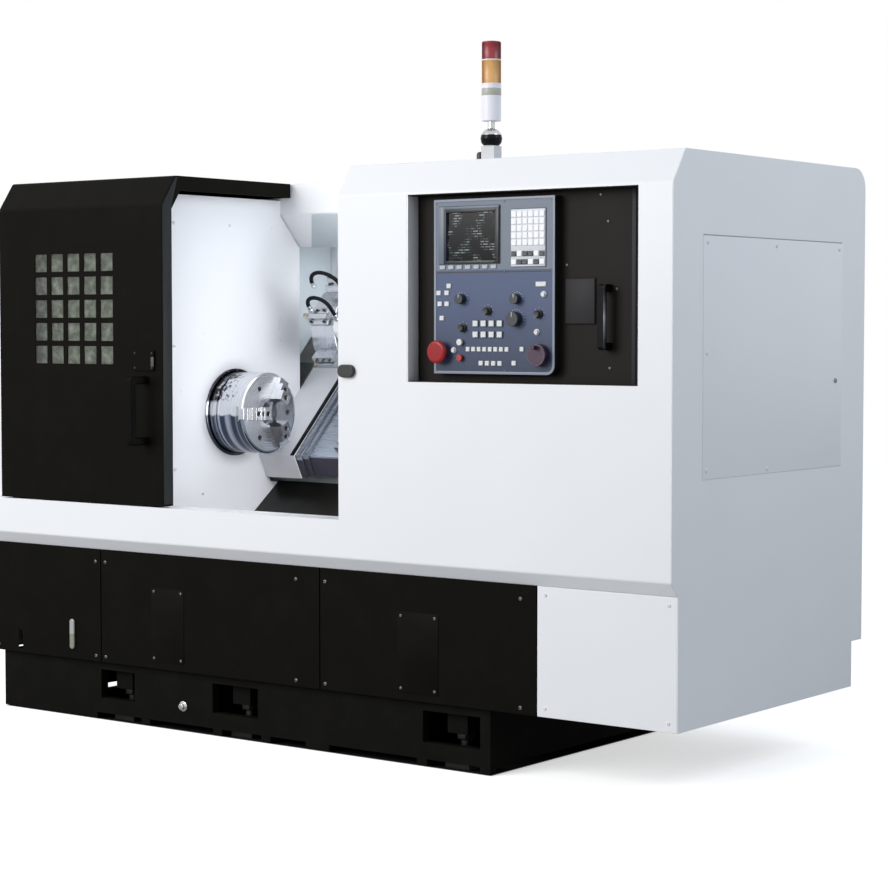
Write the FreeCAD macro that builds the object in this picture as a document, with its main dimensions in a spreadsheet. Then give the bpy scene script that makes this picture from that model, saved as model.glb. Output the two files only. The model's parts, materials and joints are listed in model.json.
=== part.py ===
"""Slant-bed turning lathe with a wrap-over sliding door.

Lengths are millimetres. X runs to the right along the front, Y to the back and Z up from the floor.
Every driving size sits in the sheet below, and the sub-parts are bound to its cells.
"""
import FreeCAD, Part
import Sketcher
import math
import os

VECTOR = FreeCAD.Vector

# Driving sizes, in millimetres, degrees or counts. "Depth" is measured back from the upper front face.
SIZES = {
    # the whole machine
    "overall_width": 2600, "depth": 1076, "cab_height": 1700, "cab_width": 1109, "handle_reach": 75,
    "sheet_gauge": 4, "liner_gauge": 3,
    # outline of the sheet-metal cabinet, seen from the side
    "front_top": 1612, "front_bottom": 581, "bevel_run": 60, "skirt_top": 543, "skirt_back": 34,
    "skirt_bottom": 188, "rear_step_top": 321, "rear_step_in": 63, "back_corner": 60,
    # sill, door and the fixed guard behind the open door
    "sill_top": 690, "sill_depth": 90, "door_width": 718, "door_thick": 45, "door_travel": 690,
    "door_bottom": 694, "door_roof_end": 596, "door_gap": 2, "door_skin": 3, "guard_front": 52,
    "guard_bend": 1592, "guard_bevel": 90, "guard_top": 1648, "roof_split": 604, "roof_lip": 1603,
    "window_pitch_wide": 73, "window_pitch_high": 72, "window_cell_wide": 54, "window_cell_high": 55,
    "window_left": -1056, "window_foot": 1125, "handle_x": -570, "handle_foot": 880, "handle_tall": 210,
    "handle_bar": 24, "handle_rise": 22, "latch_foot": 1107, "latch_tall": 61,
    "catch_left": 214.5, "catch_gap": 22, "catch_deep": 12, "catch_height": 1115.5, "catch_radius": 18.5,
    # work area
    "wall_x": -550, "end_wall_x": 550, "wall_depth": 698, "inner_front": 180,
    "spindle_depth": 380, "spindle_height": 970, "nose_depth": 492, "nose_height": 830, "slant": 45,
    "cover_back": 600, "cover_step": 5, "cover_edge": -400, "skirt_run": -25.5, "skirt_drop": -80.6,
    "header_foot": 1500, "splash_back": 962, "splash_foot": 1300,
    "trough_front": 150, "trough_floor": 470, "trough_bend": 235, "trough_rear": 590, "trough_top": 740,
    # bed and ways, in the slanted frame: up the slope, and out from the cover plane
    "bed_left": -1100, "bed_right": 640, "bed_face": -60, "way_top": -30, "bed_front": 600, "bed_back": 910,
    "bed_low": 20, "bed_high": 470, "bed_crest": 1085, "bed_shelf": 735, "bed_wall": 40,
    "channel_low": 140, "channel_high": 340, "channel_floor": -130, "channel_left": -560,
    "pocket_front": 640, "pocket_back": 870, "pocket_low": 720, "pocket_high": 950,
    "lower_way": 60, "upper_way": 350, "way_wide": 70, "way_left": -590, "screw_slope": 240, "screw_out": -85,
    "screw_radius": 20, "screw_chamfer": 2, "screw_left": -545, "block_long": 40, "block_half": 40,
    "block_top": -40, "running_gap": 0.05,
    # headstock, spindle and chuck
    "head_left": -1110, "head_right": -600, "head_radius": 160, "head_high": 330, "head_shoulder": 520,
    "head_chin": 850, "head_foot": 790, "head_heel": 775, "head_bore": 75, "spindle_bore": 39,
    "front_bearing_radius": 90, "front_bearing_wide": 45, "rear_bearing_radius": 80, "rear_bearing_wide": 40,
    "front_journal": 60, "rear_journal": 50, "spindle_waist": 56, "spindle_nose": 110, "nose_wide": 34,
    "spindle_left": -1180, "chuck_face": -406,
    "chuck_back": -541, "chuck_radius": 127, "chuck_bore": 37, "jaw_wide": 40, "jaw_slot": 34,
    "tee_slot": 46, "jaw_inner": 40, "cylinder_bore": 32, "cylinder_left": -1290, "cylinder_step": -1235,
    "cylinder_radius": 75, "cylinder_collar": 62, "bar_hole": 60, "bar_rim": 18,
    "groove_left": -515, "groove_wide": 6, "groove_deep": 5, "chuck_cham": 4,
    "slot_deep": 26.2, "slot_long": 110, "mount_circle": 88,
    "foot_tall": 12.4, "jaw_long": 80, "jaw_step_1": 72, "jaw_step_2": 96, "jaw_step_3": 118,
    "jaw_tall": 46, "jaw_drop": 14, "screw_hole": 8, "jaw_clear": 0.2,
    "spindle_pulley_radius": 95, "motor_pulley_radius": 65, "pulley_left": -1170, "pulley_wide": 40,
    "motor_depth": 330, "motor_height": 338, "motor_half": 125, "motor_left": -1100, "motor_long": 380,
    "shaft_radius": 24, "shaft_inside": 58, "motor_cham": 25, "motor_foot_wide": 60, "belt_thick": 8,
    "belt_gap": 0.3,
    # saddle, cross slide and turret
    "saddle_left": -245, "saddle_right": 95, "saddle_top": 15, "saddle_start": 30, "saddle_end": 590,
    "lip_wide": 27.7, "lip_gap": 0.3, "lip_foot": -55, "lip_tall": 30, "nut_left": -115, "nut_long": 80,
    "rail_left": -220, "rail_right": 0, "rail_wide": 40, "rail_tall": 25,
    "cross_left": -235, "cross_right": 85, "cross_start": 260, "cross_end": 560, "cross_top": 70,
    "housing_left": -252, "housing_right": -60, "housing_front": 290, "housing_back": 500,
    "housing_shoulder": 265, "housing_top": 290, "hub_radius": 55, "cap_radius": 60, "cap_tall": 6,
    "turret_slope": 395, "turret_out": 178.2, "turret_radius": 130, "disc_left": -350, "disc_wide": 95,
    "holder_count": 6, "hose_radius": 6, "high_span": 110, "high_out": 370, "high_drop": 80, "low_span": 84,
    "low_out": 345, "low_slope": 321, "low_drop": 55, "hose_x": -277,
    # control panel
    "recess_left": 439, "recess_right": 1195, "recess_foot": 1088, "recess_top": 1606, "recess_deep": 51,
    "panel_left": 521, "panel_right": 924, "panel_foot": 1112, "panel_top": 1590, "panel_face": 18,
    "bezel_left": 539, "bezel_foot": 1413, "bezel_wide": 206, "bezel_tall": 157, "screen_left": 566,
    "screen_foot": 1421, "screen_wide": 166, "screen_tall": 132, "keypad_left": 782, "keypad_foot": 1402,
    "keypad_wide": 114, "keypad_tall": 155,
    # base
    "base_left": -1276, "base_right": 685, "base_front": 58, "base_back": 1010, "base_foot": 22,
    "base_wall": 30, "base_deck": 26, "rib_left": -505, "rib_right": 165, "fork_foot": 70, "fork_tall": 90,
    "rim_foot": 4, "rim_wide": 36, "lug_half": 35, "lug_long": 80, "lug_foot": 100,
    "pad_half": 42, "pad_tall": 20, "bolt_radius": 15, "bolt_top": 155,
    # lower covers
    "cover_fold": 20, "cover_sheet": 2, "cover_joint_left": -806, "cover_joint_middle": 91,
    "cover_joint_right": 856, "joint_half": 2,
    # louvres and service cover
    "louvre_foot": 900, "louvre_pitch": 34, "louvre_wide": 260, "louvre_tall": 8, "louvre_rows": 8,
    "service_front": 150, "service_foot": 840, "service_deep": 780, "service_tall": 640, "service_gauge": 2,
    # signal tower
    "tower_x": 620, "tower_depth": 150, "tower_radius": 27, "tower_mount_wide": 44, "tower_mount_deep": 36,
    "tower_mount_tall": 41, "tower_foot": 1810, "amber_foot": 1912, "red_foot": 1978, "tower_top": 2029,
    "pole_radius": 10,
}


class Size:
    """A length that carries its value and the sheet expression that gives it."""

    def __init__(self, value, text):
        self.value = value
        self.text = text

    def join(self, sign, other, value):
        return Size(value, f"({self.text} {sign} {size(other).text})")

    def __add__(self, other):
        return self.join("+", other, self.value + size(other).value)

    def __sub__(self, other):
        return self.join("-", other, self.value - size(other).value)

    def __mul__(self, other):
        return self.join("*", other, self.value * size(other).value)

    def __truediv__(self, other):
        return self.join("/", other, self.value / size(other).value)

    def __radd__(self, other):
        return size(other) + self

    def __rsub__(self, other):
        return size(other) - self

    def __rmul__(self, other):
        return size(other) * self

    def __neg__(self):
        return size(0) - self


def size(number):
    """The number as a Size: a plain number is its own text."""
    return number if isinstance(number, Size) else Size(float(number), f"({number:.4f})")


class SheetSizes:
    """The sheet's cells by name, each as a Size."""

    def __init__(self, table):
        for name, value in table.items():
            setattr(self, name, Size(float(value), f"Sizes.{name}"))


doc = FreeCAD.newDocument("turning_lathe")
sheet = doc.addObject("Spreadsheet::Sheet", "Sizes")
for row, (name, value) in enumerate(SIZES.items(), 1):
    sheet.set(f"A{row}", str(value))
    sheet.setAlias(f"A{row}", name)
doc.recompute()
S = SheetSizes(SIZES)

HALF = S.overall_width / 2
CAB_LEFT = HALF - S.cab_width
FRONT_Y = (S.handle_reach - S.depth) / 2
SIN = Size(math.sin(math.radians(SIZES["slant"])), "sin(Sizes.slant * 1deg)")
COS = Size(math.cos(math.radians(SIZES["slant"])), "cos(Sizes.slant * 1deg)")


# ---- shapes -------------------------------------------------------------------------------------
def bind(obj, path, length):
    """Ties one property to the sheet."""
    obj.setExpression(path, size(length).text)


def place(obj, x=0, y=0, z=0, axis=None, angle=0):
    """Puts the object at a place given in Sizes, turned about an axis through that place."""
    turn = FreeCAD.Rotation(VECTOR(*axis), size(angle).value) if axis else FreeCAD.Rotation()
    obj.Placement = FreeCAD.Placement(VECTOR(*(size(c).value for c in (x, y, z))), turn)
    for letter, length in zip("xyz", (x, y, z)):
        bind(obj, f".Placement.Base.{letter}", length)
    if isinstance(angle, Size):
        bind(obj, ".Placement.Rotation.Angle", angle)
    return obj


def box(name, x, y, z, dx, dy, dz):
    obj = doc.addObject("Part::Box", name)
    for prop, length in (("Length", dx), ("Width", dy), ("Height", dz)):
        setattr(obj, prop, size(length).value)
        bind(obj, prop, length)
    return place(obj, x, y, z)


def rod(name, along, x, y, z, radius, length):
    """A cylinder from (x, y, z) along +X, +Y or +Z."""
    obj = doc.addObject("Part::Cylinder", name)
    for prop, value in (("Radius", radius), ("Height", length)):
        setattr(obj, prop, size(value).value)
        bind(obj, prop, value)
    turns = {"X": ((0, 1, 0), 90), "Y": ((1, 0, 0), -90), "Z": (None, 0)}
    return place(obj, x, y, z, *turns[along])


def attach(body, name, plane):
    sketch = body.newObject("Sketcher::SketchObject", name + "_sketch")
    sketch.AttachmentSupport = [(next(f for f in body.Origin.OriginFeatures if f.Role == plane), "")]
    sketch.MapMode = "FlatFace"
    return sketch


def tie(sketch, geometry, end, point):
    """Ties one end of a line or arc to a point given in Sizes."""
    for kind, length in zip(("DistanceX", "DistanceY"), point):
        index = sketch.addConstraint(Sketcher.Constraint(kind, -1, 1, geometry, end, size(length).value))
        sketch.setExpression(f"Constraints[{index}]", size(length).text)


def outline(sketch, points):
    """A closed outline. A point (a, b) ends a line; (a, b, r) ends an arc, r > 0 turning left."""
    flat = [VECTOR(size(p[0]).value, size(p[1]).value, 0) for p in points]
    for index, point in enumerate(points):
        start, end = flat[index - 1], flat[index]
        if len(point) == 2:
            line = sketch.addGeometry(Part.LineSegment(start, end), False)
            tie(sketch, line, 2, point)
            tie(sketch, line, 1, points[index - 1])
            continue
        radius = size(point[2])
        half = (end - start) / 2
        rise = math.sqrt(max(radius.value ** 2 - half.Length ** 2, 0))
        left = VECTOR(-half.y, half.x, 0).normalize() * math.copysign(1, radius.value)
        centre = start + half + left * rise
        circle = Part.Circle(centre, VECTOR(0, 0, 1), abs(radius.value))
        arc = sketch.addGeometry(Part.ArcOfCircle(circle, *arc_span(centre, start, end, radius.value)), False)
        first, last = (1, 2) if radius.value > 0 else (2, 1)
        tie(sketch, arc, first, points[index - 1])
        tie(sketch, arc, last, point)
        index = sketch.addConstraint(Sketcher.Constraint("Radius", arc, abs(radius.value)))
        sketch.setExpression(f"Constraints[{index}]", radius.text if radius.value > 0 else (-radius).text)


def arc_span(centre, start, end, radius):
    """Start and end angles of the arc, always counter-clockwise."""
    first, last = (start, end) if radius > 0 else (end, start)
    low = math.atan2(first.y - centre.y, first.x - centre.x)
    high = math.atan2(last.y - centre.y, last.x - centre.x)
    return low, high + (2 * math.pi if high <= low else 0)


def prism(name, plane, points, start, length, holes=()):
    """A padded outline: YZ along +X, XZ along +Y or XY along +Z, from start."""
    body = doc.addObject("PartDesign::Body", name)
    sketch = attach(body, name, plane + "_Plane")
    for loop in (points, *holes):
        outline(sketch, loop)
    pad = body.newObject("PartDesign::Pad", name + "_pad")
    pad.Profile = sketch
    bind(pad, "Length", length)
    pad.Reversed = plane == "XZ"
    along = {"YZ": "x", "XZ": "y", "XY": "z"}[plane]
    return place(body, **{along: start})


def turned(name, points, x=0, y=0, z=0, axis=None, angle=0):
    """A solid of revolution about its own X axis, from points (along the axis, radius)."""
    body = doc.addObject("PartDesign::Body", name)
    sketch = attach(body, name, "XY_Plane")
    outline(sketch, points)
    turn = body.newObject("PartDesign::Revolution", name + "_turn")
    turn.Profile = sketch
    turn.ReferenceAxis = (next(f for f in body.Origin.OriginFeatures if f.Role == "X_Axis"), [""])
    turn.Angle = 360
    return place(body, x, y, z, axis, angle)


def fuse(name, *parts):
    obj = doc.addObject("Part::MultiFuse", name)
    obj.Shapes = list(parts)
    return obj


def cut(name, base, *tools):
    obj = doc.addObject("Part::Cut", name)
    obj.Base = base
    obj.Tool = tools[0] if len(tools) == 1 else group(name + "_tools", *tools)
    return obj


def group(name, *parts):
    """Separate solids that stay separate."""
    obj = doc.addObject("Part::Compound", name)
    obj.Links = list(parts)
    return obj


def moved(name, part, x=0, y=0, z=0, axis=None, angle=0):
    """A copy of the part at another place, which follows the part."""
    return place(group(name, part), x, y, z, axis, angle)


def capsule(name, x, y, z, wide, tall, deep):
    """An upright plate with round ends, its face on the XZ plane, reaching back from y."""
    radius = size(wide) / 2
    core = box(name + "_core", x - radius, y, z + radius, wide, deep, size(tall) - wide)
    ends = [rod(f"{name}_{end}", "Y", x, y, z + radius if end == "foot" else z + tall - radius, radius, deep)
            for end in ("foot", "head")]
    return fuse(name, core, *ends)


NODES = {}


def node(name, obj, frame="machine"):
    """Names a finished sub-part and puts it in the machine: its own sketch frame starts at the
    front face, or at the way cover's nose in the slanted frame, or on the spindle axis."""
    whole = obj.TypeId in ("Part::MultiFuse", "Part::Cut", "Part::Compound")
    holder = obj if whole else group(name + "_piece", obj)
    places = {"machine": (0, FRONT_Y, 0), "slanted": (0, FRONT_Y + S.nose_depth, S.nose_height),
              "spindle": (0, FRONT_Y + S.spindle_depth, S.spindle_height)}
    if frame == "slanted":
        place(holder, *places[frame], axis=(1, 0, 0), angle=S.slant)
    else:
        place(holder, *places[frame])
    holder.Label = name
    NODES[name] = holder
    return holder


def slope(up, out):
    """Depth and height of a point given in the slanted frame."""
    return S.nose_depth + up * COS - out * SIN, S.nose_height + up * SIN + out * COS


def slanted_section(*corners):
    return [slope(size(up), size(out)) for up, out in corners]


def root(length):
    return Size(math.sqrt(length.value), f"sqrt({length.text})")


# ---- base ---------------------------------------------------------------------------------------
BASE_WIDE = S.base_right - S.base_left
BASE_DEEP = S.base_back - S.base_front
INNER_FRONT = S.base_front + S.base_wall
INNER_BACK = S.base_back - S.base_wall
CHAMBER_TOP = S.skirt_bottom - S.base_deck
RIB_HALF = S.base_wall / 2
blank = box("base_blank", S.base_left, S.base_front, S.base_foot, BASE_WIDE, BASE_DEEP,
            S.skirt_bottom - S.base_foot)
hollows = []
for name, left, right in (("left", S.base_left + S.base_wall, S.rib_left - RIB_HALF),
                          ("middle", S.rib_left + RIB_HALF, S.rib_right - RIB_HALF),
                          ("right", S.rib_right + RIB_HALF, S.base_right - S.base_wall)):
    hollows.append(box(f"base_hollow_{name}", left, INNER_FRONT, S.base_foot - 1, right - left,
                       INNER_BACK - INNER_FRONT, CHAMBER_TOP - S.base_foot + 1))
# Fork windows in the front and rear walls: name, left and right.
WINDOWS = (("right", 450, 650), ("middle", -355, -172), ("left", -831, -685))
windows = []
for name, left, right in WINDOWS:
    for side, depth in (("front", S.base_front - 1), ("rear", INNER_BACK - 1)):
        windows.append(box(f"base_window_{side}_{name}", left, depth, S.fork_foot, right - left,
                           S.base_wall + 2, S.fork_tall))
# Bosses under the walls' lower rim: centre and width.
RIMS = ((667, S.rim_wide), (446, S.rim_wide), (60, S.rim_wide * 2.5), (-140, S.rim_wide), (-335, S.rim_wide),
        (-638, S.rim_wide))
rims = [box("rim_left", S.base_left, S.base_front, S.rim_foot, 426, S.base_wall, S.base_foot - S.rim_foot)]
for centre, wide in RIMS:
    for side, depth in (("front", S.base_front), ("rear", INNER_BACK)):
        rims.append(box(f"rim_{side}_{abs(centre)}", centre - wide / 2, depth, S.rim_foot, wide, S.base_wall,
                        S.base_foot - S.rim_foot))
lugs = []
bores = []
feet = []
LUG_REACH = S.lug_long / 2
for place_name, depth in (("front", INNER_FRONT + LUG_REACH), ("rear", INNER_BACK - LUG_REACH)):
    for index, (_, left, right) in enumerate(WINDOWS):
        name = f"{place_name}_{index}"
        centre = (left + right) / 2
        lugs.append(box(f"lug_{name}", centre - S.lug_half, depth - LUG_REACH, S.lug_foot, S.lug_half * 2,
                        S.lug_long, CHAMBER_TOP - S.lug_foot))
        bores.append(rod(f"lug_bore_{name}", "Z", centre, depth, S.lug_foot - 1,
                         S.bolt_radius + S.running_gap, CHAMBER_TOP - S.lug_foot - 3))
        pad = box(f"pad_{name}", centre - S.pad_half, depth - S.pad_half, 0, S.pad_half * 2, S.pad_half * 2,
                  S.pad_tall)
        bolt = rod(f"bolt_{name}", "Z", centre, depth, S.pad_tall - 5, S.bolt_radius,
                   S.bolt_top - S.pad_tall + 5)
        feet.append(fuse(f"foot_{name}", pad, bolt))
shell = cut("base_shell", blank, *hollows, *windows)
node("base_casting", cut("base_casting_cut", fuse("base_whole", shell, *rims, *lugs), *bores))
node("levelling_feet", group("feet_set", *feet))

# ---- slanted bed with two ways ------------------------------------------------------------------
bed_outline = [slope(S.bed_low, S.bed_face), slope(S.bed_high, S.bed_face), (S.bed_back, S.bed_crest),
               (S.bed_back, S.skirt_bottom), (S.bed_front, S.skirt_bottom), (S.bed_front, S.bed_shelf)]
bed = prism("bed_body", "YZ", bed_outline, S.bed_left, S.bed_right - S.bed_left)
CHANNEL_MOUTH = S.bed_face + 10
channel = prism("bed_channel", "YZ", slanted_section(
    (S.channel_low, S.channel_floor), (S.channel_high, S.channel_floor), (S.channel_high, CHANNEL_MOUTH),
    (S.channel_low, CHANNEL_MOUTH)), S.channel_left, S.bed_right - S.channel_left + 1)
# Core pockets open to the base, with a 40 mm rib between neighbours.
RIBS = (-1060, -740, -420, -100, 220, 640)
pockets = [prism(f"bed_pocket_{index}", "YZ", [
    (S.pocket_front, S.skirt_bottom - 1), (S.pocket_back, S.skirt_bottom - 1), (S.pocket_back, S.pocket_high),
    (S.pocket_front, S.pocket_low)], left, right - S.bed_wall - left)
           for index, (left, right) in enumerate(zip(RIBS, RIBS[1:]))]
ways = [prism(f"way_{name}", "YZ", slanted_section((start, S.bed_face), (start + S.way_wide, S.bed_face),
                                                  (start + S.way_wide, S.way_top), (start, S.way_top)),
              S.way_left, S.bed_right - S.way_left - 10)
        for name, start in (("lower", S.lower_way), ("upper", S.upper_way))]
BLOCK_LOW = S.screw_slope - S.block_half
BLOCK_HIGH = S.screw_slope + S.block_half
blocks = [prism(f"screw_block_{index}", "YZ", slanted_section(
    (BLOCK_LOW, S.channel_floor), (BLOCK_HIGH, S.channel_floor), (BLOCK_HIGH, S.block_top),
    (BLOCK_LOW, S.block_top)), left, S.block_long)
          for index, left in enumerate((S.screw_left, S.bed_right - S.block_long))]
screw_hole = rod("screw_bore", "X", S.screw_left - 1, *slope(S.screw_slope, S.screw_out),
                 S.screw_radius + S.running_gap, S.bed_right - S.screw_left + 2)
node("slant_bed", cut("bed_bored", fuse("bed_whole", cut("bed_cut", bed, channel, *pockets), *ways, *blocks),
                      screw_hole))
SCREW_TIP = S.screw_radius - S.screw_chamfer
screw = turned("screw_turned", [
    (S.screw_left, 0), (S.bed_right, 0), (S.bed_right, SCREW_TIP),
    (S.bed_right - S.screw_chamfer, S.screw_radius), (S.screw_left + S.screw_chamfer, S.screw_radius),
    (S.screw_left, SCREW_TIP)], 0, S.screw_slope, S.screw_out)
node("bed_screw", group("screw_piece", screw), "slanted")

# ---- headstock, spindle and drive ---------------------------------------------------------------
AXIS_D = S.spindle_depth
AXIS_Z = S.spindle_height
head_outline = [slope(S.bed_low, S.bed_face), slope(S.head_high, S.bed_face), slope(S.head_high, size(0)),
                (S.head_shoulder, AXIS_Z + S.head_radius), (AXIS_D, AXIS_Z + S.head_radius),
                (AXIS_D - S.head_radius, AXIS_Z, S.head_radius), (AXIS_D - S.head_radius, S.head_chin),
                (AXIS_D - 50, S.head_foot), (S.head_shoulder, S.head_heel)]
head = prism("head_body", "YZ", head_outline, S.head_left, S.head_right - S.head_left)
head_bores = [rod("head_bore", "X", S.head_left - 1, AXIS_D, AXIS_Z, S.head_bore,
                  S.head_right - S.head_left + 2),
              rod("head_seat_front", "X", S.head_right - S.front_bearing_wide, AXIS_D, AXIS_Z,
                  S.front_bearing_radius, S.front_bearing_wide + 1),
              rod("head_seat_rear", "X", S.head_left - 1, AXIS_D, AXIS_Z, S.rear_bearing_radius,
                  S.rear_bearing_wide + 1)]
node("headstock_casting", cut("head_cut", head, *head_bores))
NOSE_BACK = S.chuck_back - S.nose_wide
FRONT_SEAT = S.head_right - S.front_bearing_wide
WAIST_LEFT = S.head_left + 50
node("spindle", turned("spindle_turned", [
    (S.spindle_left, S.spindle_bore), (S.chuck_back, S.spindle_bore), (S.chuck_back, S.spindle_nose),
    (NOSE_BACK, S.spindle_nose), (NOSE_BACK, S.front_journal), (FRONT_SEAT, S.front_journal),
    (FRONT_SEAT, S.spindle_waist), (WAIST_LEFT, S.spindle_waist), (WAIST_LEFT, S.rear_journal),
    (S.spindle_left, S.rear_journal)]), "spindle")
FIT = 0.03
rings = [turned(f"bearing_{name}", [(left, inner + FIT), (left + wide, inner + FIT),
                                   (left + wide, outer - FIT), (left, outer - FIT)])
         for name, left, wide, inner, outer in (
             ("front", FRONT_SEAT, S.front_bearing_wide, S.front_journal, S.front_bearing_radius),
             ("rear", S.head_left, S.rear_bearing_wide, S.rear_journal, S.rear_bearing_radius))]
node("spindle_bearings", group("bearing_set", *rings), "spindle")
PULLEY_RIGHT = S.pulley_left + S.pulley_wide
node("spindle_pulley", turned("spindle_pulley_turned", [
    (S.pulley_left, S.rear_journal + FIT), (PULLEY_RIGHT, S.rear_journal + FIT),
    (PULLEY_RIGHT, S.spindle_pulley_radius), (S.pulley_left, S.spindle_pulley_radius)]), "spindle")
SHAFT_END = S.motor_left + S.shaft_inside
motor_outline = [(S.pulley_left, 0), (SHAFT_END, 0), (SHAFT_END, S.shaft_radius),
                 (PULLEY_RIGHT, S.shaft_radius), (PULLEY_RIGHT, S.motor_pulley_radius),
                 (S.pulley_left, S.motor_pulley_radius)]
node("motor_pulley", group("motor_pulley_piece",
                           turned("motor_pulley_turned", motor_outline, 0, S.motor_depth, S.motor_height)))


def belt_loop(gap):
    """The belt's outline at a distance from both pulley rims, tangent to both circles."""
    big = S.spindle_pulley_radius + gap
    small = S.motor_pulley_radius + gap
    run_d = S.motor_depth - AXIS_D
    run_z = S.motor_height - AXIS_Z
    reach = root(run_d * run_d + run_z * run_z)
    lean = (big - small) / reach
    side = root(size(1) - lean * lean)
    along = (run_d / reach, run_z / reach)
    across = (-along[1], along[0])

    def tangent(centre, radius, sign):
        return tuple(c + radius * (lean * a + side * sign * n) for c, a, n in zip(centre, along, across))

    spindle_at = (AXIS_D, AXIS_Z)
    motor_at = (S.motor_depth, S.motor_height)
    far = tuple(c - big * a for c, a in zip(spindle_at, along))
    return [tangent(motor_at, small, 1), (*tangent(motor_at, small, -1), -small),
            tangent(spindle_at, big, -1), (*far, -big), (*tangent(spindle_at, big, 1), -big)]


belt = prism("belt_body", "YZ", belt_loop(S.belt_gap + S.belt_thick), S.pulley_left + 2, S.pulley_wide - 4,
             (belt_loop(S.belt_gap),))
node("drive_belt", group("belt_piece", belt))
HALF_M = S.motor_half
FLAT_M = HALF_M - S.motor_cham
motor = prism("motor_block", "YZ", [
    (S.motor_depth + across, S.motor_height + up)
    for across, up in ((FLAT_M, HALF_M), (-FLAT_M, HALF_M), (-HALF_M, FLAT_M), (-HALF_M, -FLAT_M),
                       (-FLAT_M, -HALF_M), (FLAT_M, -HALF_M), (HALF_M, -FLAT_M), (HALF_M, FLAT_M))],
              S.motor_left, S.motor_long)
motor_feet = [box(f"motor_foot_{index}", S.motor_left + 20, S.motor_depth + off, S.skirt_bottom,
                  S.motor_long - 40, S.motor_foot_wide, 40) for index, off in enumerate((-115, 55))]
motor_bore = rod("motor_bore", "X", S.motor_left - 1, S.motor_depth, S.motor_height,
                 S.shaft_radius + S.running_gap, S.shaft_inside + 3)
terminal = box("motor_terminal", S.motor_left + 140, S.motor_depth - 60, S.motor_height + HALF_M - 5,
               160, 120, 55)
node("spindle_motor", cut("motor_cut", fuse("motor_whole", motor, terminal, *motor_feet), motor_bore))
node("chuck_cylinder", turned("cylinder_turned", [
    (S.cylinder_left, S.cylinder_bore), (S.spindle_left, S.cylinder_bore),
    (S.spindle_left, S.cylinder_radius), (S.cylinder_step, S.cylinder_radius),
    (S.cylinder_step, S.cylinder_collar), (S.cylinder_left, S.cylinder_collar)]), "spindle")

# ---- chuck: the T-slots and jaws repeat at three angles -----------------------------------------
FACE = S.chuck_face
JAW_ANGLES = (180, 300, 60)
GROOVE_RIGHT = S.groove_left + S.groove_wide
GROOVE_RADIUS = S.chuck_radius - S.groove_deep
chuck_blank = turned("chuck_turned", [
    (S.chuck_back, S.chuck_bore), (FACE, S.chuck_bore), (FACE, S.chuck_radius - S.chuck_cham),
    (FACE - S.chuck_cham, S.chuck_radius), (GROOVE_RIGHT, S.chuck_radius), (GROOVE_RIGHT, GROOVE_RADIUS),
    (S.groove_left, GROOVE_RADIUS), (S.groove_left, S.chuck_radius), (S.chuck_back, S.chuck_radius)])
SLOT_BACK = FACE - S.slot_deep
SLOT_START = S.jaw_inner - 10
slot_tool = fuse("slot_tool", box("slot_neck", SLOT_BACK, SLOT_START, -S.jaw_slot / 2, S.slot_deep + 1,
                                  S.slot_long, S.jaw_slot),
                 box("slot_foot", SLOT_BACK, SLOT_START, -S.tee_slot / 2, S.foot_tall, S.slot_long,
                     S.tee_slot))
hole_tools = [moved(f"chuck_hole_{turn}", rod(f"chuck_hole_{turn}_rod", "X", FACE - 20, S.mount_circle, 0,
                                              S.screw_hole, 21),
                    axis=(1, 0, 0), angle=turn) for turn in (0, 120, 240)]
slots = [moved(f"slot_at_{angle}", slot_tool, axis=(1, 0, 0), angle=angle) for angle in JAW_ANGLES]
node("chuck_body", cut("chuck_cut", chuck_blank, *slots, *hole_tools), "spindle")
CLEAR = S.jaw_clear
JAW_BACK = SLOT_BACK + CLEAR
JAW_TOP = FACE + S.jaw_tall
MIDDLE = JAW_TOP - S.jaw_drop
LOW = MIDDLE - S.jaw_drop - 2
base_jaw = [box("jaw_neck", JAW_BACK, S.jaw_inner, (CLEAR - S.jaw_slot) / 2, S.slot_deep, S.jaw_long,
                S.jaw_slot - CLEAR),
            box("jaw_foot", JAW_BACK, S.jaw_inner, (CLEAR - S.tee_slot) / 2, S.foot_tall - CLEAR * 2,
                S.jaw_long, S.tee_slot - CLEAR)]
steps = prism("jaw_steps", "XY", [
    (FACE + CLEAR, S.jaw_inner), (JAW_TOP, S.jaw_inner), (JAW_TOP, S.jaw_step_1), (MIDDLE, S.jaw_step_1),
    (MIDDLE, S.jaw_step_2), (LOW, S.jaw_step_2), (LOW, S.jaw_step_3), (FACE + CLEAR, S.jaw_step_3)],
              -S.jaw_wide / 2, S.jaw_wide)
jaw_holes = [rod(f"jaw_screw_{index}", "X", FACE + low, radius, 0, S.screw_hole, 60)
             for index, (radius, low) in enumerate(((84, 18), (56, 30)))]
jaw = cut("jaw_shape", fuse("jaw_whole", *base_jaw, steps), *jaw_holes)
for index, angle in enumerate(JAW_ANGLES, 1):
    piece = moved(f"jaw_{index}_turn", jaw, axis=(1, 0, 0), angle=angle)
    node(f"jaw_{index}", group(f"jaw_{index}_piece", piece), "spindle")

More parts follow.
